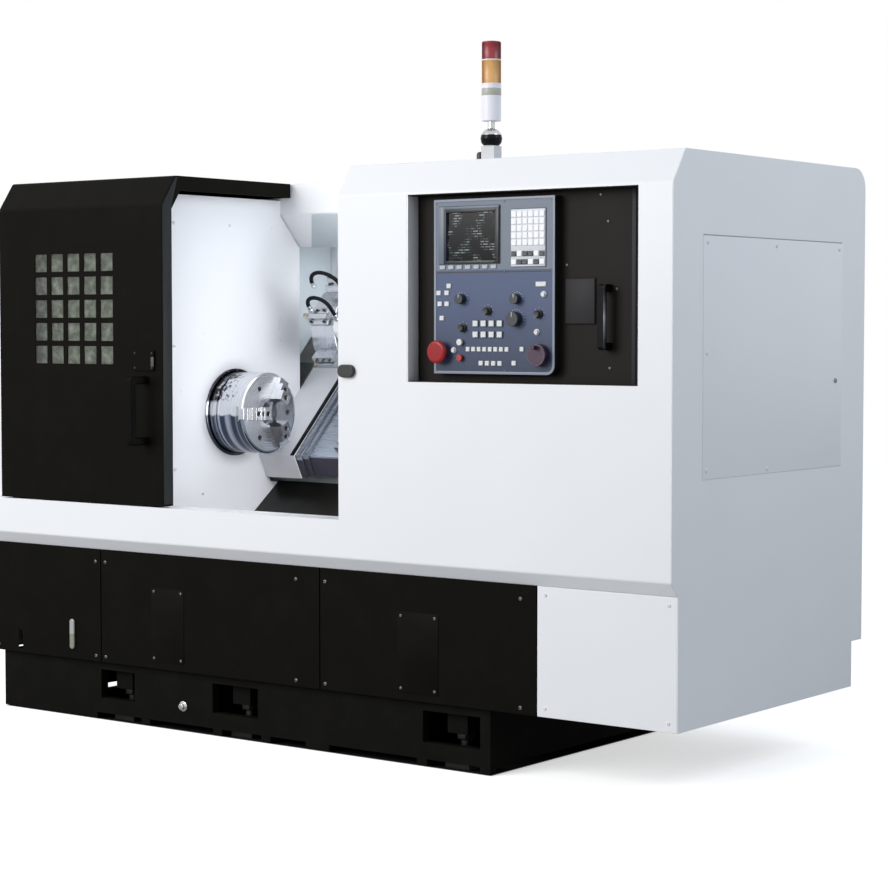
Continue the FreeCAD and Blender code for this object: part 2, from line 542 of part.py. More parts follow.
# ---- cabinet sheets -----------------------------------------------------------------------------
G = S.sheet_gauge
L = S.liner_gauge
LEFT_X = L - HALF
RIGHT_X = HALF - L
BEVEL_D = S.bevel_run
ROOF = S.cab_height
STEP_D = S.depth - S.rear_step_in
cabinet_front = [(S.skirt_back, S.skirt_top), (0, S.front_bottom), (0, S.front_top), (BEVEL_D, ROOF),
                 (BEVEL_D + G, ROOF), (G, S.front_top), (G, S.front_bottom), (S.skirt_back + G, S.skirt_top)]
sill = [(S.skirt_back, S.skirt_top), (0, S.front_bottom), (0, S.sill_top), (S.sill_depth, S.sill_top),
        (S.sill_depth, S.sill_top - G), (G, S.sill_top - G), (G, S.front_bottom),
        (S.skirt_back + G, S.skirt_top)]
jamb = [(G / 2, S.sill_top - G), (S.inner_front, S.sill_top - G), (S.inner_front, ROOF - L),
        (BEVEL_D, ROOF - L), (G / 2, S.front_top)]
front_parts = [prism("front_right", "YZ", cabinet_front, CAB_LEFT, RIGHT_X - CAB_LEFT),
               prism("front_sill", "YZ", sill, LEFT_X, CAB_LEFT - LEFT_X),
               prism("front_jamb", "YZ", jamb, CAB_LEFT, L)]
recess_hole = box("recess_hole", S.recess_left, -1, S.recess_foot, S.recess_right - S.recess_left, G + 2,
                  S.recess_top - S.recess_foot)
node("front_panel", cut("front_cut", fuse("front_whole", *front_parts), recess_hole))
rear_corner = [(S.depth - S.back_corner, ROOF), (S.depth, ROOF - S.back_corner, -S.back_corner)]
right_outline = [(S.skirt_back, S.skirt_bottom), (S.skirt_back, S.skirt_top), (0, S.front_bottom),
                 (0, S.front_top), (BEVEL_D, ROOF), *rear_corner, (S.depth, S.rear_step_top),
                 (STEP_D, S.rear_step_top), (STEP_D, S.skirt_bottom)]
node("right_side_panel", group("right_side_piece", prism("right_side", "YZ", right_outline, RIGHT_X, L)))
guard_edge = [(S.guard_front, S.sill_top), (S.guard_front, S.guard_bend), (S.guard_bevel, S.guard_top),
              (S.roof_split, S.guard_top)]
left_outline = [(S.skirt_back, S.skirt_bottom), (S.skirt_back, S.skirt_top), (0, S.front_bottom),
                (0, S.sill_top), *guard_edge, (S.roof_split, ROOF), *rear_corner, (S.depth, S.rear_step_top),
                (STEP_D, S.rear_step_top), (STEP_D, S.skirt_bottom)]
bar_hole = rod("bar_hole", "X", -HALF - 3, AXIS_D, AXIS_Z, S.bar_hole, 8)
bar_ring = rod("bar_ring", "X", -HALF - S.service_gauge, AXIS_D, AXIS_Z, S.bar_hole + S.bar_rim,
               S.service_gauge)
node("left_side_panel", cut("left_side_cut", fuse("left_side_whole",
                                                  prism("left_side", "YZ", left_outline, -HALF, L), bar_ring),
                            bar_hole))
# The left end carries a 2 mm ring and the right end a 2 mm cover, so the frame stays centred.
corner_in = S.back_corner - L
roof_end = [(S.depth - S.back_corner, ROOF), (S.depth, ROOF - S.back_corner, -S.back_corner),
            (S.depth - L, ROOF - S.back_corner), (S.depth - S.back_corner, ROOF - L, corner_in)]
roof_right = [(BEVEL_D + G, ROOF), *roof_end, (BEVEL_D + G, ROOF - L)]
roof_left = [(S.roof_split, ROOF), *roof_end, (S.roof_split + L, ROOF - L), (S.roof_split + L, S.roof_lip),
             (S.roof_split, S.roof_lip)]
node("roof_panel", fuse("roof_whole", prism("roof_right", "YZ", roof_right, CAB_LEFT, RIGHT_X - CAB_LEFT),
                        prism("roof_left", "YZ", roof_left, LEFT_X, CAB_LEFT - LEFT_X)))
back_outline = [(S.depth - L, ROOF - S.back_corner), (S.depth, ROOF - S.back_corner),
                (S.depth, S.rear_step_top), (STEP_D, S.rear_step_top), (STEP_D, S.skirt_bottom),
                (STEP_D - L, S.skirt_bottom), (STEP_D - L, S.rear_step_top + L),
                (S.depth - L, S.rear_step_top + L)]
louvres = [box(f"louvre_{column}_{row}", left, S.depth - L - 1, S.louvre_foot + S.louvre_pitch * row,
               S.louvre_wide, L + 2, S.louvre_tall)
           for column, left in enumerate((-1080, 760)) for row in range(SIZES["louvre_rows"])]
back_sheet = prism("back_sheet", "YZ", back_outline, LEFT_X, RIGHT_X - LEFT_X)
node("back_panel", cut("back_cut", back_sheet, *louvres))
node("service_cover", group("service_piece", box("service_sheet", HALF, S.service_front, S.service_foot,
                                                 S.service_gauge, S.service_deep, S.service_tall)))

# ---- lower covers -------------------------------------------------------------------------------
FOOT = S.skirt_bottom
TALL = S.skirt_top - FOOT


def tray(name, left, right, holes=()):
    """A lower cover: a face sheet with its four edges turned back."""
    gauge = S.cover_sheet
    face = box(name + "_face", left, S.skirt_back, FOOT, right - left, S.cover_fold, TALL)
    pocket = box(name + "_pocket", left + gauge, S.skirt_back + gauge, FOOT + gauge,
                 right - left - gauge * 2, S.cover_fold, TALL - gauge * 2)
    return cut(name, face, pocket, *holes)


dark_slot = box("cover_slot", -1184, S.skirt_back - 1, 200, 20, 5, 64)
JOINT = S.joint_half
node("lower_panels", group(
    "lower_set", tray("lower_right", S.cover_joint_middle + JOINT, S.cover_joint_right - JOINT),
    tray("lower_middle", S.cover_joint_left + JOINT, S.cover_joint_middle - JOINT),
    tray("lower_left", LEFT_X, S.cover_joint_left - JOINT, (dark_slot,))))
node("lower_front_cover", group("lower_front_piece",
                                tray("lower_front", S.cover_joint_right + JOINT, RIGHT_X)))
node("sight_glass", capsule("sight_capsule", -931, S.skirt_back - 8, 219, 20, 96, 8))

# ---- guards round the work area -----------------------------------------------------------------
WALL = size(S.wall_x)
guard_in = [(S.roof_split, S.guard_top - L), (S.guard_bevel + 2, S.guard_top - L),
            (S.guard_front + G, S.guard_bend), (S.guard_front + G, S.sill_top)]
node("headstock_guard", group("guard_piece", prism("guard_sheet", "YZ", [*guard_edge, *guard_in], LEFT_X,
                                                   WALL - L - LEFT_X)))
trough_edge = [(S.trough_rear, S.trough_top - G), (S.trough_bend + 1, S.trough_floor - G),
               (S.trough_front - 3, S.trough_floor - G)]
wall_outline = [*guard_edge, (S.roof_split, S.roof_lip - 3), (S.wall_depth, S.header_foot - 2),
                (S.wall_depth, 993.6), slope(size(5), size(-29)), (552, S.trough_top), *trough_edge,
                (S.sill_depth, S.sill_top - G), (S.sill_depth, S.sill_top)]
nose_hole = rod("nose_hole", "X", WALL - L - 1, AXIS_D, AXIS_Z, 116, 5)
node("headstock_wall", cut("wall_cut", prism("wall_sheet", "YZ", wall_outline, WALL - L, L), nose_hole))
splash_front = [(608, 1660), (608, 1600), (700, S.header_foot), (S.splash_back, 1545),
                (S.splash_back, S.splash_foot)]
splash_rear = [(S.splash_back + L, S.splash_foot), (S.splash_back + L, 1549), (701, S.header_foot + 4),
               (611, 1601.5), (611, 1660)]
node("rear_splash_guard", group("rear_splash_piece",
                                prism("rear_splash", "YZ", [*splash_front, *splash_rear], -640,
                                      S.end_wall_x + 637)))
END_X = S.end_wall_x - L
inner_sheet = [(S.sill_depth, S.sill_top), (S.inner_front, S.sill_top), (S.inner_front, ROOF - L),
               (S.inner_front + L, ROOF - L), (S.inner_front + L, S.sill_top - L),
               (S.sill_depth, S.sill_top - L)]
end_plate = [(S.inner_front + L, ROOF - L), (S.splash_back, ROOF - L), (S.splash_back, 1310),
             slope(size(604), size(6)), slope(size(5), size(6)), slope(size(-20), size(-84)),
             *trough_edge, (S.sill_depth, S.sill_top - 7), (S.sill_depth, S.sill_top - L),
             (S.inner_front + L, S.sill_top - L)]
node("right_splash_guard", fuse("right_splash_whole",
                                prism("right_inner", "YZ", inner_sheet, CAB_LEFT + L, END_X - CAB_LEFT - L),
                                prism("right_end", "YZ", end_plate, END_X, L)))
trough_top = [(S.sill_depth, S.sill_top - G), (S.trough_front, S.trough_floor),
              (S.trough_bend, S.trough_floor), (S.trough_rear, S.trough_top), *trough_edge,
              (S.sill_depth - G, S.sill_top - G)]
node("chip_trough", group("trough_piece", prism("trough_sheet", "YZ", trough_top, WALL, END_X - WALL)))
tank = box("tank_outer", -540, 96, FOOT, 1180, 464, 267)
tank_inside = box("tank_inside", -536, 100, FOOT + 4, 1172, 456, 255)
tank_cap = rod("tank_cap", "Z", 596, 170, FOOT + 267, 35, 18)
node("coolant_tank", fuse("tank_whole", cut("tank_cut", tank, tank_inside), tank_cap))

# ---- way covers, from the outermost level to the one on the saddle -------------------------------


def cover_outline(level, back):
    """Nose, top sheet and skirt of one cover; each level sits one step inside the one above."""
    drop = S.cover_step * level
    return [(drop, -drop), (back, -drop), (back, -drop - L), (drop + 2.2, -drop - L),
            (drop + S.skirt_run + 3.15, S.skirt_drop), (drop + S.skirt_run, S.skirt_drop)]


BACK = S.cover_back
node("way_cover_fixed", group("cover_0", prism("cover_0_sheet", "YZ", cover_outline(0, BACK), WALL,
                                               S.cover_edge - WALL)), "slanted")
node("way_cover_inner", group("cover_1", prism("cover_1_sheet", "YZ", cover_outline(1, BACK), -546, 168)),
     "slanted")
node("way_cover_outer", group("cover_2", prism("cover_2_sheet", "YZ", cover_outline(2, BACK), -524, 168)),
     "slanted")
wings = [prism("wing_left", "YZ", cover_outline(3, BACK), -502, S.saddle_left + 502),
         prism("wing_apron", "YZ", cover_outline(3, size(30)), S.saddle_left, S.saddle_right - S.saddle_left),
         prism("wing_right", "YZ", cover_outline(3, BACK), S.saddle_right, 565 - S.saddle_right)]
node("saddle_cover", fuse("saddle_cover_whole", *wings), "slanted")

# ---- saddle, cross slide and turret --------------------------------------------------------------
GAP = S.running_gap
SADDLE_WIDE = S.saddle_right - S.saddle_left
SADDLE_LONG = S.saddle_end - S.saddle_start
LIP = S.lip_wide + S.lip_gap
saddle = [box("saddle_plate", S.saddle_left, S.saddle_start, S.way_top + GAP, SADDLE_WIDE, SADDLE_LONG,
              S.saddle_top - S.way_top - GAP)]
for name, way in (("low", S.lower_way), ("high", S.upper_way)):
    for side, start in (("front", way - LIP), ("rear", way + S.way_wide + S.lip_gap)):
        saddle.append(box(f"saddle_lip_{name}_{side}", S.saddle_left, start, S.lip_foot, SADDLE_WIDE,
                          S.lip_wide, S.lip_tall))
saddle.append(box("nut_bracket", S.nut_left, S.screw_slope - 35, S.screw_out - 40, S.nut_long, 70, 100))
for name, left in (("left", S.rail_left), ("right", S.rail_right)):
    saddle.append(box(f"cross_rail_{name}", left, S.saddle_start, S.saddle_top, S.rail_wide, SADDLE_LONG,
                      S.rail_tall))
nut_bore = rod("nut_bore", "X", S.nut_left - 1, S.screw_slope, S.screw_out, S.screw_radius + GAP,
               S.nut_long + 2)
node("saddle", cut("saddle_cut", fuse("saddle_whole", *saddle), nut_bore), "slanted")
RAIL_TOP = S.saddle_top + S.rail_tall
CROSS_LONG = S.cross_end - S.cross_start
LIP_LOW = S.saddle_top + 3
cross = [box("cross_plate", S.cross_left, S.cross_start, RAIL_TOP + GAP, S.cross_right - S.cross_left,
             CROSS_LONG, S.cross_top - RAIL_TOP - GAP),
         box("cross_lip_left", S.cross_left, S.cross_start, LIP_LOW,
             S.rail_left - S.cross_left - S.lip_gap, CROSS_LONG, S.rail_tall),
         box("cross_lip_right", S.rail_right + S.rail_wide + S.lip_gap, S.cross_start, LIP_LOW, 30,
             CROSS_LONG, S.rail_tall)]
node("cross_slide", fuse("cross_whole", *cross), "slanted")
TURRET_V = S.turret_slope
TURRET_W = S.turret_out
HOUSING_CORNER = S.housing_top - S.housing_shoulder
housing = prism("housing_block", "YZ", [
    (S.housing_front, S.cross_top), (S.housing_back, S.cross_top), (S.housing_back, S.housing_shoulder),
    (S.housing_back - HOUSING_CORNER, S.housing_top), (S.housing_front + HOUSING_CORNER, S.housing_top),
    (S.housing_front, S.housing_shoulder)], S.housing_left, S.housing_right - S.housing_left)
housing_bore = rod("housing_bore", "X", S.housing_left - 1, TURRET_V, TURRET_W, S.hub_radius + GAP, 160)
node("turret_housing", cut("housing_cut", housing, housing_bore), "slanted")


def polygon(radius, count, turn):
    """Corners of a regular polygon about the turret axis."""
    return [(TURRET_V + radius * math.cos(math.radians(turn + 360 * k / count)),
             TURRET_W + radius * math.sin(math.radians(turn + 360 * k / count))) for k in range(count)]


disc = prism("disc_prism", "YZ", polygon(S.turret_radius, 12, 15), S.disc_left, S.disc_wide)
hub = rod("disc_hub", "X", S.disc_left + S.disc_wide, TURRET_V, TURRET_W, S.hub_radius, 150)
cap = rod("disc_cap", "X", S.disc_left - S.cap_tall, TURRET_V, TURRET_W, S.cap_radius, S.cap_tall)
node("turret_disc", fuse("disc_whole", disc, hub, cap), "slanted")
APOTHEM = S.turret_radius * math.cos(math.radians(15)) + 0.02
HOLDER_LEFT = S.disc_left + 5
HOLDER_WIDE = S.disc_wide - 12
holder = [box("holder_block", HOLDER_LEFT, APOTHEM, -26, HOLDER_WIDE, 22, 52),
          box("holder_nose", HOLDER_LEFT, APOTHEM + 22, -26, HOLDER_WIDE, 10, 20),
          box("holder_tool", HOLDER_LEFT, APOTHEM + 22, -4, HOLDER_WIDE, 18, 16)]
holder_shape = fuse("holder_shape", *holder)
tools = [moved(f"holder_{k}", holder_shape, 0, TURRET_V, TURRET_W, (1, 0, 0), 60 * k)
         for k in range(SIZES["holder_count"])]
node("tool_holders", group("holder_set", *tools), "slanted")


def arch(name, span, leg_a, leg_b):
    """A hose arch in its own XZ plane: two legs and a half ring between them, with end fittings."""
    ring = doc.addObject("PartDesign::Body", name + "_ring")
    sketch = attach(ring, name, "XY_Plane")
    half = size(span) / 2
    side = S.hose_radius * math.sin(math.radians(22.5))
    flat = S.hose_radius * math.cos(math.radians(22.5))
    outline(sketch, [(half + side, -flat), (half + flat, -side), (half + flat, side), (half + side, flat),
                     (half - side, flat), (half - flat, side), (half - flat, -side), (half - side, -flat)])
    turn = ring.newObject("PartDesign::Revolution", name + "_turn")
    turn.Profile = sketch
    turn.ReferenceAxis = (next(f for f in ring.Origin.OriginFeatures if f.Role == "Y_Axis"), [""])
    turn.Angle = 180
    turn.Reversed = True
    place(ring)
    legs = [rod(name + "_leg_a", "Z", half, 0, -leg_a, S.hose_radius, leg_a),
            rod(name + "_leg_b", "Z", -half, 0, -leg_b, S.hose_radius, leg_b)]
    return fuse(name, ring, *legs)


high_arch = arch("hose_high_arch", S.high_span, S.high_drop, 8)
low_arch = arch("hose_low_arch", S.low_span, S.low_drop, 16)
hoses = [moved("hose_high", high_arch, S.hose_x, TURRET_V, S.high_out),
         moved("hose_low", low_arch, S.hose_x, S.low_slope, S.low_out)]
node("coolant_hoses", group("hose_set", *hoses), "slanted")

# ---- sliding door -------------------------------------------------------------------------------
DOOR_LEFT = CAB_LEFT - S.door_gap - S.door_travel - S.door_width
SKIN = S.door_skin
DOOR_ROOF = S.front_top + 43
face_outline = [(0, S.door_bottom), (0, S.front_top), (BEVEL_D, ROOF), (S.door_roof_end, ROOF),
                (S.door_roof_end, ROOF - SKIN), (BEVEL_D + 1.6, ROOF - SKIN), (SKIN, S.front_top - 1),
                (SKIN, S.door_bottom)]
frame_outline = [(0, S.door_bottom), (0, S.front_top), (BEVEL_D, ROOF), (S.door_roof_end, ROOF),
                 (S.door_roof_end, DOOR_ROOF), (BEVEL_D + 23.8, DOOR_ROOF), (S.door_thick, S.front_top - 14),
                 (S.door_thick, S.door_bottom)]
DOOR_RIGHT = DOOR_LEFT + S.door_width
door_parts = [prism("door_face", "YZ", face_outline, DOOR_LEFT, S.door_width),
              prism("door_frame_left", "YZ", frame_outline, DOOR_LEFT, SKIN),
              prism("door_frame_right", "YZ", frame_outline, DOOR_RIGHT - SKIN, SKIN),
              box("door_floor", DOOR_LEFT, 0, S.door_bottom, S.door_width, S.door_thick, SKIN),
              box("door_back", DOOR_LEFT, S.door_roof_end - SKIN, DOOR_ROOF, S.door_width, SKIN,
                  ROOF - DOOR_ROOF)]
for index, left in enumerate((39, 619)):
    door_parts.append(box(f"door_shoe_{index}", DOOR_LEFT + left, 12, S.sill_top + GAP, 60, 28,
                          S.door_bottom - S.sill_top))
    door_parts.append(box(f"door_guide_{index}", DOOR_LEFT + left, S.door_roof_end - 1, 1660, 60,
                          S.roof_split - S.door_roof_end + 1 - GAP, 30))
cells = [box(f"door_cell_{column}_{row}", S.window_left + S.window_pitch_wide * column, -1,
             S.window_foot + S.window_pitch_high * row, S.window_cell_wide, SKIN + 2, S.window_cell_high)
         for column in range(5) for row in range(5)]
door_parts.append(box("latch_plate", S.handle_x - 49, -6, S.latch_foot, 88, 7, S.latch_tall))
node("door_shell", cut("door_cut", fuse("door_whole", *door_parts), *cells))
node("door_window", group("door_window_piece",
                          box("door_pane", S.window_left - 20, SKIN, S.window_foot - 20, 386, 6, 384)))
BAR = S.handle_bar
handle_top = S.handle_foot + S.handle_tall
handle_inner = -S.handle_reach + S.handle_rise
grip_outline = [(0, S.handle_foot), (0, S.handle_foot + BAR), (handle_inner, S.handle_foot + BAR),
                (handle_inner, handle_top - BAR), (0, handle_top - BAR), (0, handle_top),
                (-S.handle_reach + 8, handle_top), (-S.handle_reach, handle_top - 8),
                (-S.handle_reach, S.handle_foot + 8), (-S.handle_reach + 8, S.handle_foot)]
grip = prism("door_grip", "YZ", grip_outline, S.handle_x - BAR / 2, BAR)
node("door_handle", group("door_handle_piece", grip))
CATCH_RIGHT = S.catch_left + S.catch_gap
catch = [box("catch_core", S.catch_left, -S.catch_deep, S.catch_height - S.catch_radius, S.catch_gap,
             S.catch_deep, S.catch_radius * 2)]
for name, x in (("left", S.catch_left), ("right", CATCH_RIGHT)):
    catch.append(rod(f"catch_{name}_end", "Y", x, -S.catch_deep, S.catch_height, S.catch_radius,
                     S.catch_deep))
node("door_catch", fuse("catch_whole", *catch))

# ---- control panel ------------------------------------------------------------------------------
recess = box("recess_outer", S.recess_left, 1, S.recess_foot, S.recess_right - S.recess_left,
             S.recess_deep - 1, S.recess_top - S.recess_foot)
recess_pocket = box("recess_pocket", S.recess_left + L, 0, S.recess_foot + L,
                    S.recess_right - S.recess_left - L * 2, S.recess_deep - L,
                    S.recess_top - S.recess_foot - L * 2)
RECESS_FLOOR = S.recess_deep - L
plate = box("recess_plate", 939, RECESS_FLOOR - 4, 1248, 96, 5, 122)
node("control_recess", fuse("recess_whole", cut("recess_cut", recess, recess_pocket), plate))
FACE_D = S.panel_face
corner = 26
panel_outline = [(S.panel_left, S.panel_foot), (S.panel_right - corner, S.panel_foot),
                 (S.panel_right, S.panel_foot + corner, corner), (S.panel_right, S.panel_top),
                 (S.panel_left, S.panel_top)]
panel_block = prism("panel_block", "XZ", panel_outline, FACE_D, RECESS_FLOOR - FACE_D)
panel_hollow = box("panel_hollow", S.panel_left + 5, FACE_D + 6, S.panel_foot + 27,
                   S.panel_right - S.panel_left - 10, RECESS_FLOOR - FACE_D, S.panel_top - S.panel_foot - 32)
panel_parts = [cut("panel_shell", panel_block, panel_hollow),
               box("panel_bezel", S.bezel_left, FACE_D - 4, S.bezel_foot, S.bezel_wide, 5, S.bezel_tall),
               box("panel_keypad", S.keypad_left, FACE_D - 3, S.keypad_foot, S.keypad_wide, 4, S.keypad_tall)]
for column in range(4):
    for row, low in enumerate((1241, 1211)):
        panel_parts.append(box(f"panel_key_{column}_{row}", 655 + 27 * column, FACE_D - 3, low, 19, 4, 18))
screen_hole = box("screen_hole", S.screen_left, FACE_D - 5, S.screen_foot, S.screen_wide, 9,
                  S.screen_tall)
# Controls that turn or press: name, x, z, bore radius.
CONTROLS = {"estop_button": (546, 1172, 11), "handwheel": (877, 1166, 8), "feed_knob": (798, 1262, 5),
            "spindle_knob": (801, 1316, 5), "mode_knob": (617, 1317, 5), "cycle_start_button": (614, 1199, 6),
            "feed_hold_button": (614, 1156, 6)}
panel_parts.append(rod("estop_collar", "Y", 546, FACE_D - 5, 1172, 22, 8))
panel_bores = [rod(name + "_bore", "Y", x, FACE_D - 6, z, wide + GAP, 20)
               for name, (x, z, wide) in CONTROLS.items()]
node("control_housing", cut("panel_cut", fuse("panel_whole", *panel_parts), screen_hole, *panel_bores))
PANE_GAP = 0.2
pane = box("screen_pane", S.screen_left + PANE_GAP, FACE_D + 1, S.screen_foot + PANE_GAP,
           S.screen_wide - PANE_GAP * 2, 3, S.screen_tall - PANE_GAP * 2)
node("screen_glass", group("screen_piece", pane))


def stem(name, clear):
    """The control's shaft through the panel, from 2 mm inside a grip that stands clear of it."""
    x, z, wide = CONTROLS[name]
    start = FACE_D - clear - 2
    return rod(name + "_stem", "Y", x, start, z, wide, RECESS_FLOOR - 10 - start)


def fluted(name, radius, sides, proud, clear):
    """A control with a many-sided grip, standing clear of the panel by its press or a running gap."""
    x, z, wide = CONTROLS[name]
    corners = [(x + radius * math.cos(2 * math.pi * k / sides),
                z + radius * math.sin(2 * math.pi * k / sides)) for k in range(sides)]
    grip = prism(name + "_grip", "XZ", corners, FACE_D - clear - proud, size(proud))
    return fuse(name + "_whole", grip, stem(name, clear))


x, z, wide = CONTROLS["estop_button"]
mushroom = [(-12, 0), (-12, 24), (-6, 32), (2, 32), (8, 14), (8, 0)]
node("estop_button", fuse("estop_whole", stem("estop_button", 10),
                          turned("estop_mushroom", mushroom, x, 0, z, (0, 0, 1), 90)))
node("handwheel", fuse("handwheel_whole", rod("handwheel_disc", "Y", 877, FACE_D - 22, 1166, 30, 21.5),
                       stem("handwheel", 0.5), rod("handwheel_crank", "Y", 877, FACE_D - 38, 1186, 6, 17)))
node("feed_knob", fluted("feed_knob", 20, 16, 22, 0.5))
node("spindle_knob", fluted("spindle_knob", 14, 12, 18, 0.5))
node("mode_knob", fluted("mode_knob", 14, 12, 18, 0.5))
for name in ("cycle_start_button", "feed_hold_button"):
    node(name, fluted(name, 9, 12, 7, 4))
grab = [(RECESS_FLOOR, 1180), (RECESS_FLOOR, 1200), (20, 1200), (20, 1333), (RECESS_FLOOR, 1333),
        (RECESS_FLOOR, 1353), (14, 1353), (8, 1347), (8, 1186), (14, 1180)]
node("grab_handle", group("grab_piece", prism("grab_body", "YZ", grab, 1063, 25)))

# ---- signal tower -------------------------------------------------------------------------------
TOWER = (S.tower_x, S.tower_depth)
ball = turned("tower_ball", [(1738, 0), (1738, 17), (1750, 28), (1762, 30.5), (1774, 28), (1784, 21),
                             (1790, S.pole_radius), (S.tower_foot, S.pole_radius), (S.tower_foot, 0)],
              *TOWER, 0, (0, 1, 0), -90)
mount = box("tower_block", S.tower_x - S.tower_mount_wide / 2, S.tower_depth - S.tower_mount_deep / 2, ROOF,
            S.tower_mount_wide, S.tower_mount_deep, S.tower_mount_tall)
node("tower_bracket", fuse("tower_bracket_whole", mount, ball))
RIM = S.tower_radius


def stack(name, low, high):
    """One section of the tower."""
    return rod(name + "_rod", "Z", *TOWER, low, RIM, high - low)


for name, low, high in (("tower_body", S.tower_foot, S.amber_foot), ("amber_lens", S.amber_foot, S.red_foot),
                        ("red_lens", S.red_foot, S.tower_top)):
    node(name, group(name + "_piece", stack(name, low, high)))

# ---- check and write ----------------------------------------------------------------------------
doc.recompute()
bad = [o.Name for o in doc.Objects if {"Invalid", "Error"} & set(o.State)]
assert not bad, f"not computed: {bad}"
os.makedirs("parts", exist_ok=True)
overall = FreeCAD.BoundBox()
facets = 0
for name, obj in NODES.items():
    shape = obj.Shape
    assert not shape.isNull() and shape.isValid() and shape.Volume > 0, f"{name} has no valid solid"
    overall.add(shape.BoundBox)
    facets += len(shape.tessellate(0.5)[1])
    shape.exportStep(f"parts/{name}.step")
print(len(NODES), "nodes, box", overall, "facets", facets)
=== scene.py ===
import json
import math
import bmesh
import bpy
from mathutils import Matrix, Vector


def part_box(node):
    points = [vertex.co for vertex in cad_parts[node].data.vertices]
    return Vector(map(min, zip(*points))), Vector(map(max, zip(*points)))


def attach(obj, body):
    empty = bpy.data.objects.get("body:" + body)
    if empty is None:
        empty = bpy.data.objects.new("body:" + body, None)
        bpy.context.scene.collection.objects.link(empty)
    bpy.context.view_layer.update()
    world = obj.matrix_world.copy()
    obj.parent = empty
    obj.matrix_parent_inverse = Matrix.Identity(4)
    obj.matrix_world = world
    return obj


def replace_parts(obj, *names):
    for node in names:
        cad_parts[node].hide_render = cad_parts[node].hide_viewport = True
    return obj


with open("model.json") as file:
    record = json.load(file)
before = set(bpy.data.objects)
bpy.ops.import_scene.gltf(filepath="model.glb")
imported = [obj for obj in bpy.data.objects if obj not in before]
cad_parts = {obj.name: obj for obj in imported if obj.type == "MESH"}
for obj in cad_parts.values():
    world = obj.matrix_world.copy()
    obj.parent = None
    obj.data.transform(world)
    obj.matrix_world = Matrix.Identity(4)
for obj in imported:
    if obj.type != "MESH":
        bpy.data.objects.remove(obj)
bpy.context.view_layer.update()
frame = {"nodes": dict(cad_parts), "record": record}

# ---- studio floor, backdrop and lamps ------------------------------------------------------------
# The machine stands in a white cove. The floor and sky are shown white to the camera, while the lamps
# stay at a plain level, so paint keeps its own colour and its shadow. Under the base a near-black patch is
# painted on the floor as shadow.
class Shade:
    """One output of a shader node. Sums and products of shades become Math nodes."""

    def __init__(self, finish, socket):
        self.finish, self.socket = finish, socket

    def maths(self, operation, *values):
        return self.finish.add("ShaderNodeMath", {"operation": operation}, *values)

    def __add__(self, other):
        return self.maths("ADD", self, other)

    def __sub__(self, other):
        return self.maths("SUBTRACT", self, other)

    def __rsub__(self, other):
        return self.maths("SUBTRACT", other, self)

    def __mul__(self, other):
        return self.maths("MULTIPLY", self, other)

    def __pow__(self, other):
        return self.maths("POWER", self, other)

    def __abs__(self):
        return self.maths("ABSOLUTE", self)

    def over(self, limit):
        return self.maths("GREATER_THAN", self, limit)

    def clipped(self):
        return self.finish.add("ShaderNodeClamp", {}, self)

    def within(self, low, high):
        """One between two places in metres, and nothing outside them."""
        return ((self - low) * 90).clipped() * ((high - self) * 90).clipped()

    def other(self, name):
        """Another output of the same node."""
        return Shade(self.finish, self.socket.node.outputs[name])

    __radd__ = __add__
    __rmul__ = __mul__


class Finish:
    """A material or world under construction: one method adds any node."""

    def __init__(self, name, owner=None):
        self.owner = owner or bpy.data.materials.new(name)
        self.owner.use_nodes = True
        self.tree = self.owner.node_tree
        self.tree.nodes.clear()

    def add(self, kind, settings, *values, out=0, **named):
        node = self.tree.nodes.new(kind)
        for key, value in settings.items():
            setattr(node, key, value)
        wanted = [(node.inputs[index], value) for index, value in enumerate(values)]
        wanted += [(node.inputs[key.replace("_", " ")], value) for key, value in named.items()]
        for socket, value in wanted:
            if isinstance(value, Shade):
                self.tree.links.new(value.socket, socket)
            elif value is not None:
                socket.default_value = value
        return Shade(self, node.outputs[out])

    def mix(self, factor, low, high):
        """Colour between low and high."""
        node = self.tree.nodes.new("ShaderNodeMix")
        node.data_type = "RGBA"
        for name, value in (("Factor_Float", factor), ("A_Color", low), ("B_Color", high)):
            socket = next(s for s in node.inputs if s.identifier == name)
            if isinstance(value, Shade):
                self.tree.links.new(value.socket, socket)
            else:
                socket.default_value = value
        return Shade(self, next(s for s in node.outputs if s.identifier == "Result_Color"))

    def tinted(self, factor, colour, dark, pale):
        """One colour that drifts between a darker and a paler tone of itself."""
        return self.mix(factor, (*(c * dark for c in colour), 1), (*(min(c * pale, 1) for c in colour), 1))

    def place(self, **mapping):
        """The place on the piece, scaled or turned."""
        return self.add("ShaderNodeMapping", {}, self.add("ShaderNodeTexCoord", {}, out=3), **mapping)

    def axes(self):
        """The place on the piece in metres: across, back and up."""
        across = self.add("ShaderNodeSeparateXYZ", {}, self.add("ShaderNodeTexCoord", {}, out=3))
        return across, across.other("Y"), across.other("Z")

    def noise(self, scale, detail=3, spread=(1, 1, 1), rough=0.5):
        return self.add("ShaderNodeTexNoise", {}, Vector=self.place(Scale=spread), Scale=scale, Detail=detail,
                        Roughness=rough)

    def bump(self, height, strength, depth):
        return self.add("ShaderNodeBump", {}, Strength=strength, Distance=depth, Height=height)

    def surface(self, shade, end="ShaderNodeOutputMaterial"):
        """Closes the tree with one shader and gives the material or world."""
        self.tree.links.new(shade.socket, self.tree.nodes.new(end).inputs["Surface"])
        return self.owner

    def shader(self, **looks):
        """Closes the tree with a Principled shader."""
        return self.surface(self.add("ShaderNodeBsdfPrincipled", {}, **looks))


def grey(level):
    return (level, level, level, 1)


